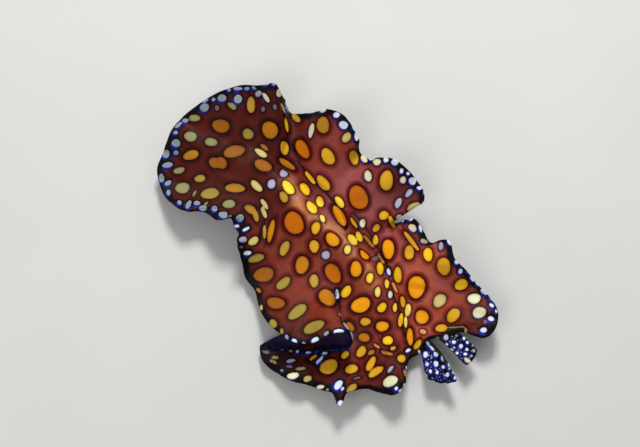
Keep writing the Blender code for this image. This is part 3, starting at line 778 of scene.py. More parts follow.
def edge_distances():
    """Millimetres from the margin, added up from the edge inwards along the columns of each layer."""
    from_edge = np.full(len(points), 0.0)
    for grid in (top, bottom):
        steps = np.linalg.norm(np.diff(points[grid], axis=1), axis=-1)
        reach = np.cumsum(steps[:, ::-1], axis=1)[:, ::-1]
        from_edge[grid[:, :-1]] = reach
    return from_edge


def seen_points(normals):
    """Points that face the camera and are among the nearest of their cell of the picture."""
    across, down, depth = in_picture(points)
    cell = (down // SIGHT_CELL).astype(int) * SIGHT_CELLS + (across // SIGHT_CELL).astype(int)
    _, cell = np.unique(cell, return_inverse=True)
    nearest = np.full(cell.max() + 1, FAR)
    np.minimum.at(nearest, cell, depth)
    return (depth < nearest[cell] + SIGHT_DEPTH) & (normals @ BACK > SIGHT_TILT)


NORMAL = point_normals()
FROM_EDGE = edge_distances()
PX, PY, DEPTH = in_picture(points)
SEEN = seen_points(NORMAL)
UNDER = np.zeros(len(points))
UNDER[bottom] = 1.0
for _, flap_lower in flaps.values():
    UNDER[flap_lower] = 1.0
UNDER[rim] = smooth(np.linspace(*RIM_UNDER, RIM_ROWS + 1)[1:-1])
IS_FLAP = np.zeros(len(points))
for grids in flaps.values():
    for grid in grids:
        IS_FLAP[grid] = smooth(np.arange(FLAP_ROWS + 1) / FLAP_BLACK_ROWS)
print("seen by the camera:", int(SEEN.sum()), "of", len(points))

# %% [markdown]
# The markings are what names this animal. The real ones are ocelli: a fill of orange, yellow or
# cream, a thin black ring and a soft dark halo, on a red-brown ground, with white dots on a black
# margin. A tiled texture would slide over the ruffles, so each marking is placed on its own, by
# where it is seen in the picture and its size in millimetres. The skin stores the distance to the
# nearest marking's outline, and the material draws fill, ring and halo from that distance.

# %% Colours by name
TONES = {
    "orange": (190, 120, 14), "deep orange": (192, 104, 6), "bright orange": (238, 158, 14),
    "gold": (224, 170, 36), "bright gold": (246, 200, 30), "yellow": (252, 220, 66),
    "pale yellow": (246, 234, 122), "amber": (176, 126, 34), "rust": (154, 92, 22),
    "olive": (156, 138, 58), "olive gold": (184, 150, 54), "grey olive": (142, 142, 98),
    "cream": (206, 194, 124), "cream white": (224, 226, 188), "peach": (228, 166, 104),
    "tan": (180, 124, 52), "lilac": (176, 180, 208), "mauve": (124, 106, 138),
    # Grey white is a white dot dimmed by painted shade, on the darker tail and in a fold's shadow
    "white": (228, 236, 252), "shaded white": (138, 152, 146), "blue white": (228, 238, 254),
}
# How much a marking of each tone has the black surround and cool rim of a white dot, from 0 to 1
BLUE_SIDED = {"white": 1.0, "blue white": 1.0, "shaded white": 0.9, "lilac": 0.3, "cream white": 0.25}
# How wide the blue spot beside it is, as a share of the marking's width
SMEAR_SIZE = {"white": 0.46, "blue white": 0.60, "shaded white": 0.54, "lilac": 0.38, "cream white": 0.40}
# How wide and dark the halo is round each, from 0 to 1
HALO = {"deep orange": 1.0, "orange": 1.0, "bright orange": 1.0, "amber": 0.8, "gold": 0.75, "rust": 0.8,
        "bright gold": 0.6, "cream": 0.3, "cream white": 0.3, "yellow": 0.35, "pale yellow": 0.25,
        "white": 0.2, "blue white": 0.2, "shaded white": 0.2, "lilac": 0.1, "mauve": 0.0, "peach": 0.1,
        "tan": 0.3}
USUAL_HALO = 0.5


def to_light(tone):
    """An sRGB colour of 0 to 255 as the light values that Blender's shaders work in. The standard
    curve is a straight line for the darkest values and a power for the rest."""
    value = np.asarray(tone, float) / 255
    return np.where(value > 0.04045, ((value + 0.055) / 1.055) ** 2.4, value / 12.92)


print("tones:", len(TONES))

# %% [markdown]
# Each marking is a row of six: where its centre is seen in the picture, across and down, its
# length and width in millimetres as seen, how far its length is turned anticlockwise in the
# picture, in degrees, and its colour. They are grouped by the lobe that they lie on.

# %% Where the markings are seen
OCELLI = {
    "tail": [
        # The tail's markings have duller tones than the same kinds further forward: partly their own tone,
        # partly painted shade where the light falls off towards the tail
        (221, 126, 3.1, 2.2, -5, "rust"), (251, 105, 2.7, 1.5, 90, "olive gold"),
        (270, 130, 2.9, 2.7, 90, "orange"), (248, 134, 1.9, 1.9, 0, "olive"),
        (234, 151.5, 3.5, 2.1, 15, "rust"), (214.3, 162.6, 1.9, 1.8, 0, "rust"),
        (218, 162.7, 1.8, 1.7, 0, "rust"), (221.5, 162.8, 2.1, 1.8, -60, "rust"),
        (264.5, 147.3, 1.7, 0.8, -40, "tan"),
        (194.4, 193.5, 1.3, 0.5, 60, "grey olive"), (206, 203.6, 0.9, 0.5, 45, "grey olive"),
        (191, 155, 2.6, 1.7, 15, "amber"), (190.5, 136.5, 2.1, 1.8, 0, "grey olive"),
        (211, 142, 2.1, 1.5, -10, "grey olive"), (261, 153, 2.4, 1.1, -30, "cream"),
        (263, 165.5, 3.2, 1.8, -22, "rust"), (200, 178.5, 1.9, 1.3, 15, "olive"),
        (179, 170.5, 2.1, 1.1, 18, "grey olive"), (194.5, 118, 1.9, 1.3, 0, "grey olive"),
        (182.5, 188, 2.4, 1.9, 15, "grey olive"), (210, 193.5, 3.2, 1.8, 12, "olive"),
        (235, 188, 3.2, 1.6, -5, "amber"), (256.5, 186, 2.4, 1.3, -42, "cream"),
        (229, 204, 2.1, 1.5, 5, "grey olive"), (232, 106, 1.8, 1.0, -40, "grey olive"),
        (217, 108, 1.1, 0.8, 90, "mauve"), (263, 109, 1.1, 0.8, 90, "mauve"),
        (275, 107, 1.1, 0.8, 90, "mauve")],
    "right rear curl": [
        (250.5, 209.3, 2.2, 1.3, -35, "amber"), (255.8, 215.8, 2.0, 1.0, -72, "amber"),
        (253.5, 241, 1.9, 1.3, 30, "cream"),
        (264.5, 204, 2.1, 0.8, -55, "cream"), (264, 212.5, 2.1, 0.8, -70, "cream"),
        (264.5, 232, 2.3, 0.7, 88, "olive gold"), (271, 231, 3.8, 1.05, 79, "orange"),
        (241.3, 247, 0.7, 0.5, 0, "mauve")],
    "left middle": [
        (284.5, 148, 2.3, 1.5, -80, "gold"), (302.5, 149, 3.5, 1.9, -65, "deep orange"),
        (296, 118, 1.9, 1.1, -50, "olive gold"), (286.5, 125, 2.4, 0.6, -80, "bright gold"),
        (283, 108, 1.9, 0.5, -70, "cream"), (311.3, 130.5, 2.6, 0.9, 80, "cream white"),
        (323, 125, 2.7, 2.2, 90, "amber"), (328, 156.5, 2.9, 2.1, -55, "gold"),
        (354, 157.5, 2.4, 1.6, -75, "gold"), (346.5, 137.5, 1.9, 1.4, 60, "cream"),
        (368, 176, 1.9, 1.3, -75, "cream white"), (386.5, 180.5, 3.4, 2.2, 90, "gold"),
        (358.5, 197.5, 3.9, 3.1, -60, "deep orange"), (398.3, 203, 1.9, 1.1, 70, "lilac"),
        (409, 193, 1.6, 1.0, 50, "lilac"), (383.8, 215.4, 1.8, 1.45, 45, "gold"),
        (413.5, 206.7, 2.3, 1.3, 30, "cream")],
    "ridge": [
        (287, 164, 3.2, 1.1, -35, "orange"), (283.8, 173.3, 1.45, 1.3, -40, "lilac"),
        (271.5, 184, 1.6, 1.4, 90, "lilac"), (288.3, 187.5, 2.6, 1.6, -50, "yellow"),
        (283.8, 197, 2.1, 1.3, -60, "olive gold"), (305, 189, 2.3, 1.45, -60, "bright gold"),
        (310.4, 178, 2.9, 0.75, -52, "bright gold"), (323.3, 183, 3.1, 1.6, -55, "gold"),
        (320, 201.7, 1.9, 1.3, -65, "yellow"), (311.8, 207, 2.4, 1.5, -62, "yellow"),
        (322.5, 218.3, 1.4, 0.9, -65, "pale yellow"), (315.8, 228, 2.1, 1.5, 70, "gold"),
        (294, 223, 4.0, 2.9, -60, "deep orange"), (339.6, 202, 2.3, 1.2, -58, "yellow"),
        (339.6, 215.8, 4.0, 1.45, -58, "bright orange"), (353.8, 223, 2.3, 0.6, -55, "gold"),
        (332.5, 239.6, 2.6, 1.9, -55, "bright orange"), (352.5, 239.6, 2.1, 1.3, -50, "yellow"),
        (347.5, 249.6, 1.6, 1.2, 90, "pale yellow"), (314.2, 246.3, 2.2, 1.6, 90, "gold"),
        (325.8, 255, 1.5, 1.4, 0, "lilac")],
    "right side": [
        (284.6, 248.3, 2.7, 1.45, 70, "olive gold"), (256.3, 258.3, 2.7, 1.4, 15, "olive"),
        (263.8, 274.6, 3.5, 2.3, 8, "rust"), (302, 265, 3.1, 2.1, 80, "orange"),
        (283.3, 283.3, 2.7, 1.6, 38, "olive"), (314, 280.8, 2.1, 1.6, 90, "olive gold"),
        (333, 273.3, 3.3, 2.4, -55, "deep orange"), (275.8, 303, 3.1, 1.8, -3, "rust"),
        (297.5, 311.7, 3.4, 1.8, 35, "olive"), (313.8, 327, 3.5, 1.8, 28, "olive"),
        (327, 297.5, 2.9, 2.4, -45, "orange"), (346.3, 291.7, 2.2, 1.45, 65, "bright gold"),
        (339.6, 312.5, 1.3, 0.5, -70, "cream"), (350, 326.5, 1.9, 1.1, -50, "orange"),
        (273, 323.8, 1.45, 1.4, 90, "olive"), (281.8, 331.3, 1.0, 0.7, 90, "olive"),
        (258.8, 290.4, 1.1, 0.65, -40, "tan"), (261.3, 307.5, 1.0, 0.6, 90, "cream")],
    "lower ridge": [
        (391.7, 221.7, 2.1, 0.9, -70, "bright gold"), (376.3, 228, 1.6, 1.1, 45, "gold"),
        (362.5, 223.3, 1.45, 1.1, 80, "cream white"), (375.6, 240, 1.7, 1.0, 90, "bright gold"),
        (359.2, 236.7, 2.0, 1.0, -65, "yellow"), (368.8, 241.7, 2.7, 0.65, -52, "tan"),
        (364.6, 254.2, 2.1, 1.1, -55, "bright orange"), (388.3, 249.2, 3.4, 1.9, 90, "bright orange"),
        (356, 269, 2.7, 1.8, 95, "bright orange"), (380.2, 268.3, 2.2, 1.1, 95, "bright gold"),
        (397.7, 275, 2.6, 1.4, 95, "bright gold"), (369.8, 278, 1.85, 1.2, 75, "yellow"),
        (387, 283.3, 1.7, 0.8, 90, "yellow"), (388.8, 271.7, 1.45, 0.7, -75, "white"),
        # The thin tan streak at the end of the next line and the thin peach one after it are a painted
        # highlight on the edge of the fold at the ridge's foot
        (375, 258.5, 1.1, 0.8, 0, "mauve"), (380.8, 258.3, 2.1, 0.5, -55, "tan"),
        (394.5, 287, 2.3, 0.5, -65, "peach"), (390.2, 294.6, 1.3, 0.8, 85, "cream white"),
        (377.7, 292, 1.8, 1.0, 90, "pale yellow"), (360.8, 305, 3.1, 2.5, 20, "bright orange"),
        (382, 307.5, 1.9, 1.3, 50, "bright gold"), (395, 307.5, 1.5, 0.8, 85, "yellow"),
        (402.8, 301.7, 2.0, 0.8, -80, "gold"), (408, 310, 2.1, 1.05, 80, "pale yellow"),
        (400.7, 320, 2.2, 0.9, 83, "bright gold"), (405.7, 322, 1.85, 0.65, 90, "pale yellow"),
        (365.4, 321.7, 1.7, 1.4, -5, "gold"), (382.3, 326.3, 2.1, 1.7, 15, "bright orange"),
        (410, 336.7, 2.7, 1.1, 93, "bright orange"), (364.2, 337.5, 1.9, 1.45, 0, "orange"),
        (387.7, 340.4, 1.7, 1.5, 20, "bright gold"), (417.5, 344.6, 1.8, 1.0, 55, "bright gold"),
        (361.3, 351.7, 2.0, 1.4, 50, "gold"), (393, 348.3, 1.1, 0.65, 15, "gold"),
        (376.4, 345.8, 1.3, 0.5, -30, "peach"), (371.2, 352.5, 1.3, 0.85, 30, "tan"),
        (387, 353.3, 2.1, 0.65, -12, "tan"), (345, 355, 1.6, 1.05, 45, "bright gold"),
        (401.5, 358.5, 1.45, 1.25, 0, "gold"), (423, 331.7, 1.3, 0.85, -20, "peach")],
    "left front": [
        (409.2, 252.5, 2.5, 1.55, 88, "gold"), (411.3, 240.8, 4.1, 0.8, -52, "gold"),
        (428, 254.6, 2.2, 1.6, 90, "bright gold"), (443.8, 266.3, 2.9, 2.2, 90, "gold"),
        (416.5, 287, 3.5, 2.9, 85, "bright orange"), (422, 317, 2.35, 2.1, -35, "bright orange"),
        (439.6, 300.6, 2.4, 1.95, 60, "cream"), (441.3, 328, 1.95, 1.35, 10, "gold"),
        (461.3, 284.6, 2.3, 1.75, 35, "bright gold"), (474.2, 298.5, 2.3, 1.65, 10, "cream white"),
        (479.3, 312.5, 2.2, 1.9, 30, "cream white"), (453.3, 315.4, 2.6, 1.85, 60, "gold"),
        (485, 322, 0.8, 0.8, 0, "mauve")],
    "right front": [
        (351.5, 369, 2.1, 1.5, 5, "gold"), (328.8, 366.7, 3.1, 2.2, 35, "gold"),
        (370.8, 363.8, 2.5, 1.25, 60, "gold"), (375.8, 371.7, 2.7, 1.3, 35, "gold"),
        (390.4, 381.3, 2.7, 1.6, 28, "cream white"), (390.4, 369.2, 1.45, 0.65, 55, "lilac"),
        (351.7, 388.3, 2.1, 1.1, 40, "olive gold"), (356.3, 378.3, 1.45, 0.4, 15, "mauve"),
        # The thin olive, grey olive, lilac and mauve markings round 275 to 300 across lie under the folded
        # lobe; their dull tones are partly painted shade
        (313.3, 357.5, 1.5, 0.6, 35, "bright orange"), (290.4, 350.8, 0.8, 0.45, -35, "olive"),
        (275.4, 357.4, 1.4, 0.6, -5, "grey olive"), (273.3, 361.8, 1.5, 0.55, -20, "grey olive"),
        (290.8, 360.8, 1.7, 0.65, 8, "lilac"), (289.2, 366.6, 1.5, 0.5, 0, "mauve"),
        (300.8, 368.6, 1.8, 0.55, 8, "grey olive"), (307.5, 378.8, 1.4, 1.1, 25, "cream"),
        (405.4, 373.3, 1.3, 0.65, -65, "tan")],
}
print("ocelli seen:", sum(len(group) for group in OCELLI.values()))

# %% [markdown]
# The white dots follow in the same rows. On the real animal they stand close together on the black
# margin and the black tentacles. One rule could lay them, but where they are seen their sizes and
# gaps differ too much for that.

# %% The white dots of the margin and the tentacles
DOTS = {
    # Most of the tail's dots are grey white: white dots dimmed by painted shade, as the light falls off
    # towards the tail
    "tail margin": [
        (204.5, 107.5, 1.6, 1.45, 0, "shaded white"), (205.5, 101, 1.3, 0.5, 35, "shaded white"),
        (213.5, 99.5, 0.8, 0.7, 0, "lilac"), (222, 98, 1.45, 1.35, 0, "shaded white"),
        (238, 99, 1.5, 1.45, 0, "shaded white"), (238, 88.5, 1.6, 0.65, 0, "shaded white"),
        (229, 90, 0.65, 0.6, 0, "shaded white"), (247, 88.5, 1.0, 0.65, 0, "shaded white"),
        (254, 88, 1.0, 0.5, -35, "shaded white"), (258.3, 93.6, 1.3, 0.95, 60, "lilac"),
        (266, 97.5, 1.9, 0.8, -55, "cream white"),
        (265.5, 84, 1.3, 0.5, 0, "shaded white"), (274, 84, 0.8, 0.6, 0, "shaded white"),
        (279, 93, 1.4, 1.0, 90, "cream white"), (185.5, 120.5, 1.1, 0.8, 0, "shaded white"),
        (178.5, 125, 1.45, 0.65, 40, "shaded white"), (175.5, 132.5, 1.0, 0.65, 0, "shaded white"),
        (176, 143, 1.6, 1.3, 0, "shaded white"), (176, 152.5, 1.0, 0.8, 0, "shaded white"),
        (166, 154, 1.45, 1.3, 90, "shaded white"), (167.5, 165, 1.8, 1.0, 12, "shaded white"),
        (161.5, 178, 1.45, 1.0, 90, "shaded white"), (168, 183, 1.3, 0.8, 25, "shaded white"),
        (168.5, 192.5, 1.0, 0.8, 90, "shaded white"), (179.5, 202.5, 0.8, 0.8, 0, "shaded white"),
        (188.5, 204.5, 1.6, 0.8, 60, "shaded white"), (197, 203, 1.1, 0.8, 0, "shaded white"),
        (203, 208, 1.3, 1.0, 0, "shaded white"), (214.5, 208.5, 1.1, 1.0, 20, "shaded white"),
        (223.3, 214.4, 1.5, 1.3, 0, "shaded white")],
    "right rear curl": [
        (240, 218, 1.3, 1.3, 0, "shaded white"), (236.5, 226, 1.0, 0.65, 0, "white"),
        (246, 229, 1.45, 0.6, 25, "white"), (243, 239.5, 1.45, 1.0, 10, "lilac"),
        (247.5, 253, 1.45, 0.8, 5, "white")],
    "left middle margin": [
        (343.5, 125, 1.6, 1.45, 0, "white"), (336.5, 115, 1.3, 1.0, 20, "white"),
        (322.5, 109.5, 1.3, 1.1, 0, "cream white"), (349, 118, 0.8, 0.5, -40, "white"),
        (353.5, 127, 1.45, 0.5, -70, "white"), (356.5, 136.5, 1.6, 0.8, 90, "white"),
        (364, 159, 1.45, 1.0, -45, "cream white"), (371, 159, 0.8, 0.5, 0, "white"),
        (377, 162, 1.45, 1.1, 20, "cream white"), (386, 160, 1.0, 0.9, 0, "white"),
        (395, 162, 1.3, 1.3, 0, "white"), (401.5, 171, 1.0, 0.8, 90, "white"),
        (408, 173.5, 0.8, 0.65, 0, "white"), (412.5, 181, 1.45, 1.3, 90, "white"),
        (403, 180, 1.3, 1.1, 90, "cream white"), (419.5, 188, 1.0, 0.8, 0, "white"),
        (424.5, 193, 0.9, 0.45, -70, "white"), (423.5, 204, 1.3, 0.65, 65, "white"),
        (399.2, 217, 1.1, 0.9, 0, "cream white")],
    "left front margin": [
        (410.4, 218.7, 0.95, 0.75, 0, "white"), (412.5, 228, 1.6, 1.15, -55, "cream white"),
        (420.4, 228.8, 1.3, 0.6, -75, "white"), (424, 241.3, 1.3, 0.85, -15, "cream white"),
        (441, 246.3, 1.4, 0.85, 90, "lilac"), (449.2, 242, 1.3, 0.65, -65, "white"),
        (456.3, 262.5, 0.85, 0.65, -40, "white"), (462.3, 263.8, 0.65, 0.55, -40, "white"),
        (460.4, 271.3, 1.0, 0.8, 60, "white"), (468, 270, 1.3, 0.5, -65, "white"),
        (472, 279, 1.15, 0.6, -55, "white"), (478, 284, 1.0, 0.55, -25, "white"),
        (484.6, 291.7, 1.5, 1.0, -20, "white"), (491.7, 291.7, 0.8, 0.5, -60, "lilac"),
        (492.2, 298.3, 1.0, 0.65, -50, "blue white"), (491.7, 305.3, 1.0, 0.65, -35, "blue white"),
        (496.3, 311.3, 0.8, 0.5, -70, "white"), (491, 318.6, 1.1, 0.9, -20, "blue white"),
        (483.6, 330, 1.15, 1.0, 0, "blue white"), (408.2, 350.4, 1.0, 0.65, 25, "white")],
    "right fold rim": [
        (337.3, 294.2, 1.8, 0.65, -85, "blue white"), (286.7, 337.5, 1.1, 0.65, -80, "shaded white"),
        (294.2, 342, 1.15, 1.05, 90, "blue white"), (303.8, 343.8, 0.8, 0.6, 90, "blue white"),
        (315.2, 340.4, 1.45, 1.0, 30, "blue white"), (326.4, 333.3, 1.0, 0.65, 50, "lilac"),
        (338.8, 332, 1.8, 1.0, 0, "blue white"), (297.5, 351.5, 0.7, 0.6, 0, "blue white"),
        (308.2, 352.5, 1.0, 0.5, 0, "blue white"), (324.6, 353.3, 1.3, 0.5, 5, "blue white"),
        (319.6, 360.2, 1.9, 0.55, 45, "blue white"), (265.8, 352, 1.45, 0.65, -15, "mauve"),
        # The last three, thin lilac streaks along the fold's turning edge, are a painted highlight
        (282, 370.4, 0.6, 0.5, 0, "lilac"), (346, 326.2, 1.5, 0.32, -50, "lilac"),
        (352.2, 336, 1.7, 0.32, -75, "lilac"), (352.3, 346, 1.3, 0.32, 62, "lilac")],
    "right front margin": [
        (292.9, 375.8, 1.95, 1.15, 10, "cream white"), (320.4, 387, 1.45, 0.7, 10, "cream white"),
        (338.3, 385, 1.95, 1.1, 50, "blue white"), (342.5, 388.8, 0.8, 0.5, 50, "blue white"),
        (327.5, 389.6, 0.5, 0.5, 0, "lilac"), (340.4, 403.3, 1.1, 1.05, 90, "blue white"),
        (396.3, 388.3, 0.8, 0.65, 60, "blue white"), (400.8, 390.8, 0.8, 0.65, 20, "blue white"),
        (404.8, 385.8, 1.0, 0.6, 70, "cream white")],
    "right tentacle": [
        (425.6, 354.5, 1.05, 0.9, 90, "blue white"), (435.8, 354.4, 1.0, 0.75, -65, "blue white"),
        (431.5, 357.3, 0.65, 0.4, 90, "lilac"), (427.1, 364.2, 0.8, 0.65, 90, "blue white"),
        (436, 363.8, 1.05, 0.9, 90, "blue white"), (443.2, 367.1, 0.75, 0.6, 90, "blue white"),
        (442.1, 359, 0.85, 0.45, -70, "lilac"), (430.4, 371.3, 0.75, 0.6, 90, "blue white"),
        (437.2, 372.4, 0.75, 0.6, 90, "blue white"), (447.4, 374.8, 0.85, 0.7, 90, "blue white"),
        (448.8, 364.5, 0.8, 0.4, -75, "blue white"), (449.4, 368.6, 0.5, 0.45, 0, "lilac"),
        (453.3, 372.4, 0.65, 0.45, 90, "blue white"), (454.8, 378, 0.65, 0.5, 90, "blue white"),
        (426.3, 375.6, 0.7, 0.4, -70, "cream white"), (419.4, 352.3, 1.0, 0.4, -70, "cream white"),
        (428.3, 344.2, 1.3, 0.5, -60, "lilac"), (432, 348.3, 1.1, 0.55, -50, "blue white")],
    "left tentacle": [
        (446, 337.2, 1.0, 0.9, 90, "lilac"), (446.8, 344.3, 0.5, 0.5, 0, "blue white"),
        (454, 342, 0.8, 0.7, 0, "blue white"), (456.5, 335.7, 0.5, 0.5, 0, "lilac"),
        (464, 338.3, 0.65, 0.6, 90, "blue white"), (467.4, 342.6, 0.65, 0.6, 90, "blue white"),
        (461, 346.2, 0.85, 0.75, 90, "blue white"), (454.2, 347.5, 0.45, 0.4, 0, "blue white"),
        (451.7, 349.6, 0.8, 0.5, -20, "lilac"), (457.2, 353, 0.6, 0.6, 0, "blue white"),
        (466.9, 349.4, 0.65, 0.65, 0, "blue white"), (465.4, 354, 0.8, 0.55, 0, "blue white"),
        (473.6, 350.8, 0.7, 0.65, 0, "lilac"), (471.4, 355.9, 0.5, 0.45, 0, "blue white"),
        (467.4, 360.4, 1.3, 0.8, -35, "cream white"), (472.5, 345.4, 0.5, 0.35, 90, "lilac"),
        (437.4, 338, 0.8, 0.5, 0, "mauve")],
    "rim over the left tentacle": [
        (456.5, 327.2, 3.0, 0.4, 3, "grey olive"), (465.8, 331.5, 1.3, 0.5, 95, "cream")],
}
print("dots seen:", sum(len(group) for group in DOTS.values()))

# %% [markdown]
# To lay a marking on the skin, the skin's point nearest to the camera at that place in the picture
# becomes its centre. Inside the picture it is an ellipse. Its slope along the skin, not across
# the picture, turns that into real millimetres, so a ring keeps its width on a steep ruffle too.
# A limit on the distance in space keeps a marking off the fold that lies behind it.

# %% Laying a marking
CLEAR_MM = 4.0              # distances are kept up to this far from an outline
HALO_MM = 0.3 * CLEAR_MM    # mm outside a marking's own limit where its distance still counts
WOBBLE = (0.05, 0.6)        # how far an outline strays from an ellipse, and the finer wave's share
SHADE_CHANGE = 0.05         # how much lighter or darker one marking is than another
SMEAR_SHIFT = (-0.18, -0.28)    # mm right and up, as seen
ANCHOR_REACH = 1.8          # picture units from a marking's place to the points that may hold it
ANCHOR_UNDER = 0.6          # points that are more on the under side than this can't
SPACE_LIMIT = (0.75, 0.6)   # a marking reaches this share of its length, and this many mm more
LEAST_SLOPE = 0.25          # keeps rings from growing without end on skin seen edge on


class Coat:
    """For every point: the distance to the nearest outline, and that marking's colour and rim."""

    def __init__(self, count):
        """Nothing laid yet: every point is far from any outline."""
        self.mm = np.full(count, CLEAR_MM)
        self.colour = np.tile(to_light(TONES["orange"]), (count, 1))
        self.blue = np.zeros(count)
        self.halo = np.zeros(count)
        self.smear = np.full(count, CLEAR_MM)
        self.centres = []
        self.random = np.random.default_rng(7)

    def lay(self, chosen, mm, tone, centre, radius):
        """Keeps the new distance at the chosen points wherever it is less than the old one."""
        nearer = mm < self.mm[chosen]
        at = chosen[nearer]
        shade = 1 + self.random.normal(0, SHADE_CHANGE)
        self.mm[at] = mm[nearer]
        self.colour[at] = np.clip(to_light(TONES[tone]) * shade, 0, 1)
        self.blue[at] = BLUE_SIDED.get(tone, 0.0)
        self.halo[at] = HALO.get(tone, USUAL_HALO)
        self.centres.append((*centre, radius))

    def lay_smear(self, chosen, right, up, wide, tone):
        """The distance to a round spot that is shifted to the side where a white dot shows blue."""
        if tone in BLUE_SIDED:
            size = SMEAR_SIZE[tone] * wide
            mm = np.hypot(right - SMEAR_SHIFT[0], up - SMEAR_SHIFT[1]) - size
            self.smear[chosen] = np.minimum(self.smear[chosen], mm)

    def wobble(self, turn):
        """A slow, seeded change of radius round an outline: two waves round it and three."""
        start = self.random.uniform(0, TURN, 2)
        return 1 + WOBBLE[0] * (np.sin(2 * turn + start[0]) + WOBBLE[1] * np.sin(3 * turn + start[1]))

    def lay_seen(self, x, y, long, wide, turn, tone):
        """An ellipse of the picture, laid on the skin that is seen there. The distance is the
        ellipse's own size less one, divided by how fast that size grows along the skin."""
        near = np.flatnonzero((np.hypot(PX - x, PY - y) < ANCHOR_REACH) & (UNDER < ANCHOR_UNDER))
        if near.size == 0:
            near = np.flatnonzero(SEEN)
            near = near[np.argsort(np.hypot(PX[near] - x, PY[near] - y))[:3]]
        anchor = near[np.argmin(DEPTH[near])]
        centre = points[anchor]
        away = points - centre
        limit = SPACE_LIMIT[0] * long + SPACE_LIMIT[1]
        chosen = np.flatnonzero(np.linalg.norm(away, axis=1) < limit + HALO_MM)
        turn = np.radians(turn)
        along = RIGHT * np.cos(turn) + UP * np.sin(turn)
        aside = UP * np.cos(turn) - RIGHT * np.sin(turn)
        scale = SENSOR / LENS * DEPTH[anchor] / PICTURE_SIZE[0]
        dx, dy = (PX[chosen] - x) * scale, (y - PY[chosen]) * scale
        p = (dx * np.cos(turn) + dy * np.sin(turn)) / (long / 2)
        q = (dy * np.cos(turn) - dx * np.sin(turn)) / (wide / 2)
        size = np.maximum(np.hypot(p, q), TINY)
        steep = ((p / size / (long / 2))[:, None] * along + (q / size / (wide / 2))[:, None] * aside)
        level = steep - (steep * NORMAL[chosen]).sum(1, keepdims=True) * NORMAL[chosen]
        slope = np.maximum(np.linalg.norm(level, axis=1), LEAST_SLOPE * np.linalg.norm(steep, axis=1))
        mm = (size / self.wobble(np.arctan2(q, p)) - 1) / slope
        past = np.linalg.norm(away[chosen], axis=1) - limit
        self.lay(chosen, np.maximum(mm, past), tone, centre, max(long, wide) / 2)
        self.lay_smear(chosen, dx, dy, (long * wide) ** 0.5, tone)

    def lay_round(self, centre, u_way, long, wide, tone, reach=1.5):
        """A round or oval marking laid from a point of the skin, for what the picture hides."""
        away = points - points[centre]
        chosen = np.flatnonzero(np.linalg.norm(away, axis=1) < long / 2 + reach)
        away = away[chosen]
        normal = NORMAL[centre]
        first = unit(u_way - (u_way @ normal) * normal)
        second = np.cross(normal, first)
        p, q = away @ first / (long / 2), away @ second / (wide / 2)
        rise = away @ normal / max(long, wide) * 2
        size = np.sqrt(p**2 + q**2 + rise**2)
        mm = (size / self.wobble(np.arctan2(q, p)) - 1) * wide / 2
        self.lay(chosen, mm, tone, points[centre], max(long, wide) / 2)
        self.lay_smear(chosen, away @ RIGHT, away @ UP, wide, tone)


coat = Coat(len(points))
for group in [*OCELLI.values(), *DOTS.values()]:
    for marking in group:
        coat.lay_seen(*marking)
print("laid from the picture:", len(coat.centres))

# %% [markdown]
# The picture shows one side of the animal. Behind the ruffles the markings must go on, so the
# hidden skin is filled by throwing seeded darts: a dart stays if it lands clear of every marking
# that is there already. The dots along the hidden margin follow a rule instead, in three rows: small
# white dots on the very edge, larger ones further in and large dull ones beyond them.

# %% Markings that the picture hides
FILL_TONES = ["orange", "gold", "amber", "olive gold", "orange", "gold", "cream", "olive", "rust"]
FILL_GAP = 0.75             # mm, like all lengths below
FILL_TRIES = 2500
FILL_RADIUS = (0.75, 1.45)
FILL_NARROW = (0.65, 1)     # their width as a share of their length
FILL_FROM_EDGE = 2.6        # the darts keep this far from the margin
FILL_FROM_CREST = 4         # and this many rows from the crest
FILL_FROM_SEEN = 0.7        # and this share of their radius from the skin that is seen
SEEN_STEP = 3               # every third seen point is enough to test that
# Each row: depth in from the edge, radius, spacing, tone
ROWS_OF_DOTS = [(0.25, 0.30, 1.15, "white"), (1.0, 0.45, 1.7, "white"), (2.3, 0.62, 2.8, "grey olive")]
ROW_SEEN_LIMIT = 0.3        # rows are left out where the skin faces the camera more than this
ROW_JITTER = 0.2            # of the spacing, to either side
ROW_SIZES = (0.8, 1.2)
ROW_GAP = 0.12
DOT_LENGTH, DOT_WIDTH = 2.4, 2      # in radii
DOT_REACH = 1.0             # how far past a dot its halo is worked out
FLAP_TRIES = 500
FLAP_GAP = 0.13
FLAP_RADIUS = (0.10, 0.19)
FLAP_DOT_REACH = 0.6
FLAP_FIRST_ROW = 5          # the small dots keep this many rows from the root


def clear_of_others(place, radius, gap):
    """True if every marking's edge is at least a gap away from this one's edge."""
    others = np.array(coat.centres)
    away = np.linalg.norm(others[:, :3] - place, axis=1)
    return bool((away - others[:, 3] - radius > gap).all())


dice = np.random.default_rng(21)
margin_steps = np.linalg.norm(np.diff(points[top[:, -1]], axis=0), axis=1)
along_margin = np.concatenate([[0.0], np.cumsum(margin_steps)])
rows_laid = 0
for depth_in, radius, spacing, tone in ROWS_OF_DOTS:
    stops = np.arange(0.0, along_margin[-1], spacing)
    stops = stops + dice.uniform(-ROW_JITTER, ROW_JITTER, stops.size) * spacing
    columns = np.clip(np.searchsorted(along_margin, stops), 0, COLUMNS - 1)
    rows = np.argmin(np.abs(FROM_EDGE[top[columns]] - depth_in), axis=1)
    for column, row in zip(columns, rows):
        centre = top[column, row]
        size = radius * dice.uniform(*ROW_SIZES)
        if SEEN[centre] and NORMAL[centre] @ BACK > ROW_SEEN_LIMIT:
            continue
        if clear_of_others(points[centre], size, ROW_GAP):
            way = points[top[(column + 1) % COLUMNS, row]] - points[centre]
            coat.lay_round(centre, way, DOT_LENGTH * size, DOT_WIDTH * size, tone, reach=DOT_REACH)
            rows_laid += 1

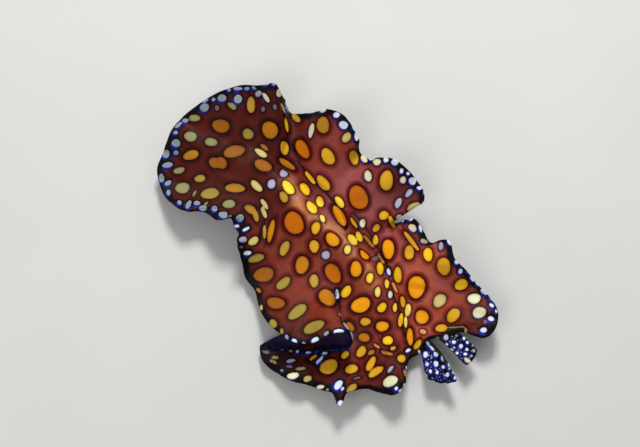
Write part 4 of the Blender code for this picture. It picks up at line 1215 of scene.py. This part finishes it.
inner = top[:, FILL_FROM_CREST:]
inner = inner[FROM_EDGE[inner] > FILL_FROM_EDGE]
hidden = inner[~SEEN[inner]]
seen_cloud = points[SEEN][::SEEN_STEP]
filled = 0
for dart in dice.choice(hidden, FILL_TRIES):
    radius = dice.uniform(*FILL_RADIUS)
    if not clear_of_others(points[dart], radius, FILL_GAP):
        continue
    if np.linalg.norm(seen_cloud - points[dart], axis=1).min() < FILL_FROM_SEEN * radius:
        continue
    way = dice.normal(size=3)
    coat.lay_round(dart, way, 2 * radius, 2 * radius * dice.uniform(*FILL_NARROW), dice.choice(FILL_TONES))
    filled += 1
print("margin dots by rule:", rows_laid, "hidden ocelli:", filled)

flap_dots = 0
for flap_upper, _ in flaps.values():
    for dart in dice.choice(flap_upper[1:-1, FLAP_FIRST_ROW:-1].ravel(), FLAP_TRIES):
        radius = dice.uniform(*FLAP_RADIUS)
        if clear_of_others(points[dart], radius, FLAP_GAP):
            way = dice.normal(size=3)
            coat.lay_round(dart, way, 2 * radius, 2 * radius, "blue white", reach=FLAP_DOT_REACH)
            flap_dots += 1
print("small dots added to the tentacles:", flap_dots)

# %% [markdown]
# The ground between the markings isn't one colour. It is brown on the back and redder on the front
# lobe, and dark brown at the tail and along most edges. That dark brown is partly the skin's own tone
# and partly painted shade, where the tail is turned from the light and the edges lie in shadow. A
# darker umber is a painted shadow under the folded lobe, the front lobe's salmon is partly a painted
# pool of light where it is turned to the light, and plum patches are a painted purple sheen. Six tones
# are enough, and the ridge is paler along its crest, partly its own tone and partly a painted highlight.
# Each tone is laid on in washes, which have a place and a reach, and a point takes the mean of the
# tones by how near their washes are. A black band follows the margin, and the tentacles are black.

# %% The ground colour
# Ground tones, some standing for light: dark brown is partly painted shade, umber is a painted shadow, salmon
# is partly a painted pool of light and plum is a painted purple sheen
GROUND_TONES = {"dark brown and shade": (84, 26, 16), "shadow umber": (50, 18, 12), "brown": (136, 60, 40),
                "brick": (154, 72, 54), "salmon and light": (190, 98, 72), "plum sheen": (154, 82, 80)}
# The washes of each tone: where one is seen, across and down, and its reach in picture units
WASHES = {
    "dark brown and shade": [(205, 135, 24), (245, 140, 22), (225, 172, 24), (255, 195, 14), (296, 132, 20),
                   (396, 180, 14), (472, 316, 12), (292, 325, 14), (255, 272, 16), (325, 375, 18),
                   (390, 368, 14)],
    "shadow umber": [(280, 362, 20)],
    "brown": [(285, 270, 24), (302, 290, 20), (345, 270, 16), (375, 300, 14), (372, 345, 22)],
    "brick": [(330, 150, 20), (455, 298, 18), (410, 300, 10)],
    "salmon and light": [(425, 285, 26)],
    "plum sheen": [(365, 182, 24), (398, 243, 14)],
}
# The pale ridge, partly its own paler tone and partly a painted highlight along the crest: places that it
# passes, its half width in mm, its colour
PALE_RIDGE = [(288, 182), (300, 205), (312, 216), (325, 226), (337, 232), (348, 246), (360, 262), (374, 284)]
PALE_PLACES = 60            # places along that path that distances are taken from
PALE_REACH = 1.15
PALE_STRENGTH = 0.75
PALE = (216, 164, 108)
CREASE_STRENGTH = 0.7
BLACK = (7, 5, 11)
BAND = (0.55, 1.5)          # the black margin is full up to here and gone by here, mm
# Where the picture shows it narrower or wider: a place, the reach round it, and the share of the width
# The last two widen the black over the hollow under the right rear curl: a painted shadow
BAND_AND_SHADOW_SHARES = [(300, 328, 16, 0.45), (330, 325, 16, 0.45), (362, 385, 14, 0.5), (412, 345, 14, 0.4),
               (345, 118, 14, 0.8), (450, 335, 10, 0.5), (247, 224, 7, 2.2), (245, 240, 7, 1.6)]
LEAST_SHARE = 0.2
UNDER_TONES = ((74, 58, 104), (36, 28, 66))     # of the under side: at the middle, at the edge
UNDER_FADE = 6              # mm from the edge to where the first of them is reached
UNDER_BAND = 0.8            # how much of the black band the under side has
UNDER_REACH = 0.4           # mm that the markings go round the edge before they fade


def ground_colour():
    """The mean of the ground's tones, among them painted shade, light and sheen, each weighted by the
    sum of its washes, every one a bell over its reach. Then come the pale ridge with its painted
    highlight, the painted shade of the creases and the band."""
    weight = np.stack([sum(np.exp(-((PX - x)**2 + (PY - y)**2) / (2 * reach**2)) for x, y, reach in washes)
                       for washes in WASHES.values()])
    weight = weight + 1e-12
    tones = np.stack([to_light(GROUND_TONES[tone]) for tone in WASHES])
    colour = np.einsum("wn,wc->nc", weight, tones) / weight.sum(0)[:, None]
    # The pale ridge: partly the midline's own paler tone, partly a painted highlight along the crest
    line = np.array(PALE_RIDGE, float)
    span = np.linspace(0, len(line) - 1, PALE_PLACES)
    path = np.stack([np.interp(span, range(len(line)), line[:, i]) for i in (0, 1)], -1)
    away = np.hypot(PX[:, None] - path[:, 0], PY[:, None] - path[:, 1]).min(1) * MM_PER_PX
    pale = np.exp(-(away / PALE_REACH) ** 2)[:, None] * PALE_STRENGTH
    colour = colour * (1 - pale) + to_light(PALE) * pale
    # The creases: a soft painted shade along each, for the shade that falls into its groove
    for name, (*_, wide, dark) in CREASES.items():
        near = np.exp(-(from_path(SUNKEN_PATHS[name], points) / wide) ** 2)[:, None]
        line = CREASE_STRENGTH * dark * near
        colour = colour * (1 - line) + to_light(CREASE_SHADE) * line
    share = np.ones(len(points))
    # The band is narrower or wider by place; where it widens under the right rear curl it is a painted shadow
    for x, y, reach, there in BAND_AND_SHADOW_SHARES:
        share += (there - 1) * np.exp(-((PX - x)**2 + (PY - y)**2) / (2 * reach**2))
    band = 1 - smooth((FROM_EDGE / np.maximum(share, LEAST_SHARE) - BAND[0]) / (BAND[1] - BAND[0]))
    band = np.maximum(band, IS_FLAP)[:, None]
    colour = colour * (1 - band) + to_light(BLACK) * band
    deep = smooth(FROM_EDGE / UNDER_FADE)[:, None]
    below = to_light(UNDER_TONES[1]) * (1 - deep) + to_light(UNDER_TONES[0]) * deep
    below = below * (1 - UNDER_BAND * band)
    return colour * (1 - UNDER[:, None]) + below * UNDER[:, None]


def painted_crease_shade():
    """For every point: the distance to the nearest crease, and how dark that crease's line of painted shade
    is.
    """
    away = np.stack([from_path(SUNKEN_PATHS[name], points) for name in CREASES])
    dark = np.array([dark for *_, dark in CREASES.values()])
    return np.minimum(away.min(0), CLEAR_MM), dark[away.argmin(0)] * (1 - UNDER)


CREASE_MM, CREASE_SHADE_AMOUNT = painted_crease_shade()
GROUND = ground_colour()
# The markings and their blue sides fade away on the under side, past the edge
inward = UNDER * np.clip(FROM_EDGE - UNDER_REACH, 0, CLEAR_MM)
coat.mm = coat.mm + inward
coat.smear = coat.smear + inward
print("blue left under the sheet:", int(((coat.smear < 0) & (UNDER > 0.5) & (FROM_EDGE > 1.5)).sum()))
print("mean ground:", [round(v, 3) for v in GROUND[top].mean((0, 1))])

# %% [markdown]
# The points become one mesh. Values on its points carry the painting, and a UV map gives every
# part of the skin its own room on a flat sheet, so that the colours can be stored in an image
# when the model is exported.

# %% The skin as one mesh
# All these are shares of the map
ATLAS_STRIPS = 3
ATLAS_PAD = 0.006
ATLAS_BODY = 0.86           # the width that the body takes
UPPER_SHARE = 0.70          # the height that the upper side takes in a strip
FLAP_BLOCK = 0.2            # the height of each face of a flap
RIM_STRIPS = 10
RIM_START, RIM_STEP, RIM_HEIGHT = 0.81, 0.019, 0.014


def cells(columns, rows):
    """A grid's faces in the order they were made: the column of each, and its corners' places."""
    number = np.arange(columns * rows)
    column, row = number // rows, number % rows
    corner_column = np.stack([column, column, column + 1, column + 1], -1)
    corner_row = np.stack([row, row + 1, row + 1, row], -1)
    return column, corner_column, corner_row


def skin_uvs():
    """The margin is cut into strips laid above each other, lower side over upper side. Across a
    strip runs u and up it runs r, the flaps share a block at the right, and the rim its own lines."""
    uv = np.zeros((len(quads), 4, 2))
    pieces = [(top.shape[0], UPPER_ROWS), (bottom.shape[0], LOWER_ROWS)]
    start = 0
    width = ATLAS_BODY
    for layer, (columns, rows) in enumerate(pieces):
        column, corner_column, corner_row = cells(columns, rows)
        strip = column * ATLAS_STRIPS // columns
        first = strip * columns / ATLAS_STRIPS
        share = UPPER_SHARE if layer == 0 else 1 - UPPER_SHARE
        height = share / ATLAS_STRIPS - 2 * ATLAS_PAD
        base = strip / ATLAS_STRIPS + (0 if layer == 0 else UPPER_SHARE / ATLAS_STRIPS) + ATLAS_PAD
        x = ATLAS_PAD + (corner_column - first[:, None]) / (columns / ATLAS_STRIPS) * (width - 2 * ATLAS_PAD)
        y = base[:, None] + corner_row / rows * height
        if layer == 1:
            x, y = x[:, ::-1], y[:, ::-1]
        uv[start:start + column.size] = np.stack([x, y], -1)
        start += column.size
    for block in range(2 * len(flaps)):
        column, corner_column, corner_row = cells(ROOT_COLUMNS, FLAP_ROWS)
        corner_column, corner_row = corner_column / ROOT_COLUMNS, corner_row / FLAP_ROWS
        if block % 2:
            corner_column, corner_row = corner_column[:, ::-1], corner_row[:, ::-1]
        x = width + ATLAS_PAD + corner_column * (1 - width - 2 * ATLAS_PAD)
        y = block * FLAP_BLOCK + ATLAS_PAD + corner_row * (FLAP_BLOCK - 2 * ATLAS_PAD)
        uv[start:start + column.size] = np.stack([x, y], -1)
        start += column.size
    loop = rim_grid.shape[0]
    column, corner_column, corner_row = cells(loop, RIM_ROWS)
    strip = column * RIM_STRIPS // loop
    first = strip * loop / RIM_STRIPS
    share = (corner_column - first[:, None]) / (loop / RIM_STRIPS)
    x = width + ATLAS_PAD + share * (1 - width - 2 * ATLAS_PAD)
    y = RIM_START + strip[:, None] * RIM_STEP + corner_row / RIM_ROWS * RIM_HEIGHT
    uv[start:] = np.stack([x, y], -1)
    return uv


corner_uv = skin_uvs()
print("the map fills from", corner_uv.min((0, 1)).round(3), "to", corner_uv.max((0, 1)).round(3))

# %% [markdown]
# Where two columns meet at the end of the crest, a quad has one corner twice and becomes a
# triangle. The mesh stays at the origin, with its place in its points, so that a noise on object
# coordinates stays fixed to the worm.

# %% The mesh and its painting
def make_mesh(name, points_mm, faces):
    """A mesh object at the origin, its points turned into metres, shaded smooth."""
    data = bpy.data.meshes.new(name)
    data.from_pydata(to_metres(points_mm).tolist(), [], faces)
    made = bpy.data.objects.new(name, data)
    bpy.context.scene.collection.objects.link(made)
    data.shade_smooth()
    return made


def put_values(data, name, values):
    """Stores one number or one colour for each point."""
    if values.ndim == 1:
        data.attributes.new(name, "FLOAT", "POINT").data.foreach_set("value", values.astype(np.float32))
        return
    rgba = np.concatenate([values, np.ones((len(values), 1))], axis=1).astype(np.float32)
    data.attributes.new(name, "FLOAT_COLOR", "POINT").data.foreach_set("color", rgba.ravel())


same = quads == np.roll(quads, -1, axis=1)
faces = [list(dict.fromkeys(face)) if pinched else face for face, pinched in zip(quads.tolist(), same.any(1))]
skin = make_mesh("worm_skin", points, faces)
sizes = np.array([len(face) for face in faces])
kept = np.ones((len(quads), 4), bool)
kept[sizes == 3] &= ~np.roll(same, 1, axis=1)[sizes == 3]
uv_layer = skin.data.uv_layers.new(name="OFBake")
uv_layer.data.foreach_set("uv", corner_uv[kept].astype(np.float32).ravel())
painting = {"mark_mm": coat.mm, "mark_colour": coat.colour, "mark_blue": coat.blue,
            "mark_halo": coat.halo, "mark_smear": coat.smear, "crease_mm": CREASE_MM,
            "painted_crease_shade": CREASE_SHADE_AMOUNT, "ground": GROUND}
for name, values in painting.items():
    put_values(skin.data, name, values)
problems = skin.data.validate(verbose=False)
print("triangles:", int((sizes - 2).sum()), "mesh changed by validate:", problems)

# %% [markdown]
# The skin's finish reads those values. Fine noise first shifts the distance a little, so that no
# outline is too perfect. Colour ramps over the distance then give the fill, the black ring and
# the halo. A blue spot, shifted to one side, shows from under each white dot. Flesh under water is
# fairly matt, with a faint shine, and lets some light in, which softens its small shadows.

# %% The skin's material
RAMP_START, RAMP_END = -1.0, 2.0        # mm of distance that the ramps cover
WHITE = (1, 1, 1, 1)
COBALT = (0.007, 0.012, 0.26, 1)
# Painted shade: the black of the crisp line laid along each crease's groove
CREASE_SHADE_BLACK = (0.003, 0.003, 0.010, 1)          # of the creases
NIGHT = (0.002, 0.002, 0.005, 1)        # round the white dots
LILAC_EDGE = (0.30, 0.36, 0.74, 1)
BROWN_EDGE = (0.80, 0.62, 0.45, 1)      # each of these four is multiplied onto what it tints
CORE_TINT = (0.86, 0.80, 0.62, 1)
MOTTLE_TINT = (0.78, 0.62, 0.70, 1)
DULL_TINT = (0.72, 0.66, 0.68, 1)
# Painted sheen: violet patches multiplied onto the ground where the skin shows a purple sheen
VIOLET_SHEEN_TINT = (0.88, 0.80, 1.35, 1)
RED_TINT = (1.06, 0.80, 0.62, 1)
# Ramps over the distance in mm. A level is how much is shown there, a colour what is left of the skin
FILL = [(-0.13, 1), (0.0, 0)]
WIDE_HALO = [(-0.10, (0.07, 0.01, 0.01)), (0.16, (0.12, 0.015, 0.015)), (0.45, (0.46, 0.17, 0.17)), (1.0, 1)]
THIN_HALO = [(-0.10, (0.10, 0.03, 0.03)), (0.05, (0.16, 0.05, 0.06)), (0.28, (0.82, 0.62, 0.66)), (0.6, 1)]
CREASE_LINE = [(0.07, 1), (0.30, 0)]
DARK_ROUND = [(0.15, 1), (0.55, 0)]
BLUE_SPOT = [(-0.22, 1), (0.10, 0)]
WARM_RIM = [(-0.5, 0), (-0.1, 0.75)]
COOL_RIM = [(-0.25, 0), (-0.05, 0.7)]
# Noises: how many cells a metre holds, and how many finer layers are added
FINE, MIDDLE, BROAD = (2600.0, 3.0), (900.0, 3.0), (260.0, 2.0)
VIOLET_SHEEN_NOISE, RED_NOISE = (420.0, 2.0), (230.0, 2.0)
NOISE_ROUGHNESS = 0.55
JITTER = (0.16, -0.08)      # mm, a share of the fine noise and a shift
VIOLET_SHEEN_FROM_TO, RED_FROM_TO, DULL_FROM_TO = (0.50, 0.66), (0.48, 0.66), (0.3, 0.7)     # noise levels
MOTTLE, SPECKLE, CORE = 0.4, 0.5, 0.4       # how strong each is
ROUGHNESS = (0.2, 0.44)     # a share of the fine noise and a start
SHINE = 0.09
FLESH_LIGHT = 0.12          # how much light comes out of the flesh
FLESH_RADIUS = (1.0, 0.4, 0.25)     # red goes farthest
FLESH_DEPTH = 0.0006        # m
PIMPLES = (0.5, 0.55, 0.00009)      # the fine noise's share, strength, height in m
print("the ramps cover in mm:", (RAMP_START, RAMP_END))

# %% [markdown]
# A material is a tree of nodes. Four helpers keep its lines short: one adds any node, one a ramp
# over the distance, one a mix of two colours, and one gives a noise two tones.

# %% Helpers for materials
def node(tree, kind, inputs=(), **settings):
    """Adds a node, sets its options and its inputs, and links inputs that are other outputs."""
    made = tree.nodes.new(kind)
    for key, value in settings.items():
        setattr(made, key, value)
    for key, value in dict(inputs).items():
        socket = made.inputs[key]
        if isinstance(value, bpy.types.NodeSocket):
            tree.links.new(value, socket)
        else:
            socket.default_value = value
    return made


def ramp(tree, factor, stops):
    """A colour ramp over the distance: each stop is a distance in mm and a grey or a colour there."""
    made = node(tree, "ShaderNodeValToRGB", {"Fac": factor})
    band = made.color_ramp
    band.interpolation = "EASE"
    while len(band.elements) < len(stops):
        band.elements.new(0.5)
    for element, (mm, colour) in zip(band.elements, stops):
        element.position = (mm - RAMP_START) / (RAMP_END - RAMP_START)
        element.color = (*np.broadcast_to(colour, 3), 1.0)
    return made.outputs["Color"]


def mix(tree, factor, a, b, blend="MIX"):
    """A colour mix: a where the factor is 0 and b where it is 1."""
    made = node(tree, "ShaderNodeMix", data_type="RGBA", blend_type=blend, clamp_factor=True)
    for socket, value in ((made.inputs[0], factor), (made.inputs[6], a), (made.inputs[7], b)):
        if isinstance(value, bpy.types.NodeSocket):
            tree.links.new(value, socket)
        else:
            socket.default_value = value
    return made.outputs[2]


def two_tones(tree, factor, levels, low, high):
    """One colour below the first level of a noise, another above the second, to be multiplied on."""
    made = node(tree, "ShaderNodeValToRGB", {"Fac": factor})
    for element, level, colour in zip(made.color_ramp.elements, levels, (low, high)):
        element.position = level
        element.color = colour
    return made.outputs["Color"]


# %% [markdown]
# The tree is built from the ground outwards: the ground is mottled, patched with a painted violet
# sheen and with red, and speckled by noise, then come the painted shade of the creases, halo and
# ring, blue spots, and last the fill with its rim. Each marking could have a shader of its own, but
# one tree that reads the points' values serves them all, and a ring keeps its width on every ruffle.

# %% The tree of the skin
def skin_material():
    """From the ground outwards: mottled ground with a painted violet sheen, the painted shade of the creases,
    halo and ring, blue spot, then the fill.
    """
    made = bpy.data.materials.new("worm_skin")
    made.use_nodes = True
    tree = made.node_tree
    shader = tree.nodes["Principled BSDF"]
    place = node(tree, "ShaderNodeTexCoord").outputs["Object"]

    def value(name, output):
        """One of the values that the points carry."""
        return node(tree, "ShaderNodeAttribute", attribute_name=name).outputs[output]

    def noise(kind):
        """A cloud from 0 to 1 that is fixed to the worm."""
        return node(tree, "ShaderNodeTexNoise", {"Vector": place, "Scale": kind[0], "Detail": kind[1],
                                                 "Roughness": NOISE_ROUGHNESS}).outputs["Fac"]

    def sums(operation, a, b, c=0.0):
        """One sum, such as a product or a times b plus c."""
        return node(tree, "ShaderNodeMath", {0: a, 1: b, 2: c}, operation=operation).outputs[0]

    def span(name):
        """A distance with its jitter, as a share of the way along the ramps."""
        shifted = sums("ADD", value(name, "Fac"), jitter)
        return sums("DIVIDE", sums("SUBTRACT", shifted, RAMP_START), RAMP_END - RAMP_START)

    fine, middle_noise, broad = noise(FINE), noise(MIDDLE), noise(BROAD)
    jitter = sums("MULTIPLY_ADD", fine, *JITTER)
    distance = span("mark_mm")
    blue_side = span("mark_smear")
    fill_amount = ramp(tree, distance, FILL)
    wide_halo, thin_halo = ramp(tree, distance, WIDE_HALO), ramp(tree, distance, THIN_HALO)
    halo = mix(tree, value("mark_halo", "Fac"), thin_halo, wide_halo)
    # Painted sheen: violet patches laid on the ground by noise
    violet_sheen = two_tones(tree, noise(VIOLET_SHEEN_NOISE), VIOLET_SHEEN_FROM_TO, WHITE, VIOLET_SHEEN_TINT)
    red = two_tones(tree, noise(RED_NOISE), RED_FROM_TO, WHITE, RED_TINT)
    dull = two_tones(tree, middle_noise, DULL_FROM_TO, DULL_TINT, WHITE)
    mottled = mix(tree, sums("MULTIPLY", broad, MOTTLE), value("ground", "Color"), MOTTLE_TINT, "MULTIPLY")
    patched = mix(tree, 1.0, mix(tree, 1.0, mottled, violet_sheen, "MULTIPLY"), red, "MULTIPLY")
    speckled = mix(tree, SPECKLE, patched, dull, "MULTIPLY")
    # Painted shade: a crisp dark line along each crease, where shade falls into its groove
    line = ramp(tree, span("crease_mm"), CREASE_LINE)
    creased = mix(tree, sums("MULTIPLY", value("painted_crease_shade", "Fac"), line), speckled, CREASE_SHADE_BLACK)
    ringed = mix(tree, 1.0, creased, halo, "MULTIPLY")
    darkened = sums("MULTIPLY", value("mark_blue", "Fac"), ramp(tree, distance, DARK_ROUND))
    surround = mix(tree, darkened, ringed, NIGHT)
    bordered = mix(tree, ramp(tree, blue_side, BLUE_SPOT), surround, COBALT)
    fill = value("mark_colour", "Color")
    warm_rim = mix(tree, ramp(tree, distance, WARM_RIM), fill, BROWN_EDGE, "MULTIPLY")
    cool_rim = mix(tree, ramp(tree, distance, COOL_RIM), fill, LILAC_EDGE)
    rimmed = mix(tree, value("mark_blue", "Fac"), warm_rim, cool_rim)
    core = mix(tree, sums("MULTIPLY", middle_noise, CORE), rimmed, CORE_TINT, "MULTIPLY")
    final = mix(tree, fill_amount, bordered, core)
    tree.links.new(final, shader.inputs["Base Color"])

    tree.links.new(sums("MULTIPLY_ADD", fine, *ROUGHNESS), shader.inputs["Roughness"])
    shader.inputs["Specular IOR Level"].default_value = SHINE
    shader.inputs["Subsurface Weight"].default_value = FLESH_LIGHT
    shader.inputs["Subsurface Radius"].default_value = FLESH_RADIUS
    shader.inputs["Subsurface Scale"].default_value = FLESH_DEPTH
    share, strength, height = PIMPLES
    pimples = sums("ADD", sums("MULTIPLY", fine, share), middle_noise)
    bump = node(tree, "ShaderNodeBump", {"Height": pimples, "Strength": strength, "Distance": height})
    tree.links.new(bump.outputs["Normal"], shader.inputs["Normal"])
    return made


skin.data.materials.append(skin_material())
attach(skin, "root")
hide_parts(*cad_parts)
print("skin material nodes:", len(skin.data.materials[0].node_tree.nodes))

# %% [markdown]
# Flatworms have no eyeballs. A little cluster of black pigment cups sits under the skin over the
# brain, on the midline just behind the tentacles. The picture is too coarse to show them, so they
# come from the species: about two dozen tiny beads, nearly sunk in the skin, in two short bands.

# %% The eye cluster
EYE_SEEN = (394.0, 331.0)   # on the midline, where the picture would show it
EYE_BEAD = 0.055            # mm, the largest bead's radius
EYE_COUNT = 26
EYE_RINGS, EYE_SIDES = 5, 8     # of one bead's mesh
EYE_BANDS = (0.16, 0.07)    # mm from the midline to each band, and how much that varies
EYE_BAND_REACH = 0.34       # mm, half a band's length
EYE_SUNK = 0.4              # the share of a bead's radius that its centre lies under the skin
EYE_SIZES = (0.6, 1.0)
EYE_DARK, EYE_LIGHTER = (0.004, 0.003, 0.004, 1), (0.022, 0.012, 0.014, 1)
EYE_NOISE = 9000.0
EYE_ROUGHNESS = 0.25


def eye_cluster():
    """Beads from one unit ball: each is that ball shrunk and put on the skin's nearest point."""
    rings, sides = EYE_RINGS, EYE_SIDES
    tilt = np.pi * np.arange(1, rings) / rings
    spin = TURN * np.arange(sides) / sides
    ball = np.stack([np.outer(np.sin(tilt), np.cos(spin)), np.outer(np.sin(tilt), np.sin(spin)),
                     np.outer(np.cos(tilt), np.ones(sides))], -1).reshape(-1, 3)
    ball = np.vstack([ball, [0, 0, 1], [0, 0, -1]])
    number = np.arange((rings - 1) * sides).reshape(rings - 1, sides)
    right_of = np.roll(number, -1, axis=1)
    walls = np.stack([number[:-1], number[1:], right_of[1:], right_of[:-1]], -1).reshape(-1, 4)
    above, below = np.full(sides, len(ball) - 2), np.full(sides, len(ball) - 1)
    caps = np.concatenate([np.stack([above, number[0], right_of[0]], -1),
                           np.stack([below, right_of[-1], number[-1]], -1)])
    scatter = np.random.default_rng(3)
    side = np.where(np.arange(EYE_COUNT) % 2, 1, -1)
    middle = points[SEEN][np.argmin(np.hypot(PX[SEEN] - EYE_SEEN[0], PY[SEEN] - EYE_SEEN[1]))]
    x = middle[0] + side * (EYE_BANDS[0] + EYE_BANDS[1] * scatter.normal(size=EYE_COUNT))
    y = middle[1] + EYE_BAND_REACH * scatter.uniform(-1, 1, EYE_COUNT)
    top_points = points[top[:, :UPPER_ROWS // 2]].reshape(-1, 3)
    nearest = np.array([np.argmin((top_points[:, 0] - a) ** 2 + (top_points[:, 1] - b) ** 2)
                        for a, b in zip(x, y)])
    centres = np.stack([x, y, top_points[nearest, 2] - EYE_SUNK * EYE_BEAD], -1)
    sizes = EYE_BEAD * scatter.uniform(*EYE_SIZES, EYE_COUNT)
    beads = (centres[:, None] + ball[None] * sizes[:, None, None]).reshape(-1, 3)
    first = len(ball) * np.arange(EYE_COUNT)[:, None, None]
    faces = (walls + first).reshape(-1, 4).tolist() + (caps + first).reshape(-1, 3).tolist()
    return make_mesh("eye_cluster", beads, faces)


eyes = eye_cluster()
eye_material = bpy.data.materials.new("eye_pigment")
eye_material.use_nodes = True
eye_tree = eye_material.node_tree
eye_place = node(eye_tree, "ShaderNodeTexCoord").outputs["Object"]
eye_noise = node(eye_tree, "ShaderNodeTexNoise", {"Vector": eye_place, "Scale": EYE_NOISE}).outputs["Fac"]
eye_shader = eye_tree.nodes["Principled BSDF"]
eye_colour = mix(eye_tree, eye_noise, EYE_DARK, EYE_LIGHTER)
eye_tree.links.new(eye_colour, eye_shader.inputs["Base Color"])
eye_shader.inputs["Roughness"].default_value = EYE_ROUGHNESS
eyes.data.materials.append(eye_material)
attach(eyes, "root")
print("eye beads:", EYE_COUNT)

# %% [markdown]
# The stage is a plain pale floor. The light is a soft lamp from the top of the picture, as the
# animal's own shading shows, and a weaker one from its lower left, with a weak white sky all round.
# The floor's own colour changes a little, like matt card.

# %% Floor and light
FLOOR_SIZE = 1.2            # m
FLOOR_LEVEL = -0.00002      # m, just under the sole
CARD_DARK, CARD_LIGHT = (0.60, 0.60, 0.58, 1), (0.66, 0.66, 0.645, 1)
CARD_NOISE = (30.0, 4.0)    # cells a metre, finer layers
CARD_ROUGHNESS = 0.85
KEY_LIGHT = ((0.18, 0.16, 0.28), 0.10, 1.1)         # place and size in m, power in W
FILL_LIGHT = ((-0.25, -0.05, 0.25), 0.20, 0.35)
SKY = 0.35


def make_floor():
    """One square of card, from four corners."""
    side, low = FLOOR_SIZE / 2, FLOOR_LEVEL
    data = bpy.data.meshes.new("floor")
    data.from_pydata([(-side, -side, low), (side, -side, low), (side, side, low), (-side, side, low)], [],
                     [(0, 1, 2, 3)])
    made = bpy.data.objects.new("floor", data)
    bpy.context.scene.collection.objects.link(made)
    card = bpy.data.materials.new("floor_card")
    card.use_nodes = True
    tree = card.node_tree
    place = node(tree, "ShaderNodeTexCoord").outputs["Object"]
    cloud = node(tree, "ShaderNodeTexNoise",
                 {"Vector": place, "Scale": CARD_NOISE[0], "Detail": CARD_NOISE[1]}).outputs["Fac"]
    shader = tree.nodes["Principled BSDF"]
    colour = mix(tree, cloud, CARD_DARK, CARD_LIGHT)
    tree.links.new(colour, shader.inputs["Base Color"])
    shader.inputs["Roughness"].default_value = CARD_ROUGHNESS
    data.materials.append(card)
    return made


def lamp(name, where, size, power):
    """A square soft lamp that looks at the origin."""
    light = bpy.data.lights.new(name, "AREA")
    light.size = size
    light.energy = power
    made = bpy.data.objects.new(name, light)
    away = unit(np.array(where))
    across = unit(np.cross([0.0, 0.0, 1.0], away))
    turned = np.eye(4)
    turned[:3, 0], turned[:3, 1], turned[:3, 2], turned[:3, 3] = across, np.cross(away, across), away, where
    made.matrix_world = Matrix(turned.tolist())
    bpy.context.scene.collection.objects.link(made)


make_floor()
lamp("key", *KEY_LIGHT)
lamp("fill", *FILL_LIGHT)
world = bpy.data.worlds.new("sky")
world.use_nodes = True
sky = world.node_tree.nodes["Background"]
sky.inputs["Color"].default_value = WHITE
sky.inputs["Strength"].default_value = SKY
bpy.context.scene.world = world
bpy.context.scene.view_settings.view_transform = "Standard"
print("lamps:", [light.name for light in bpy.data.lights])
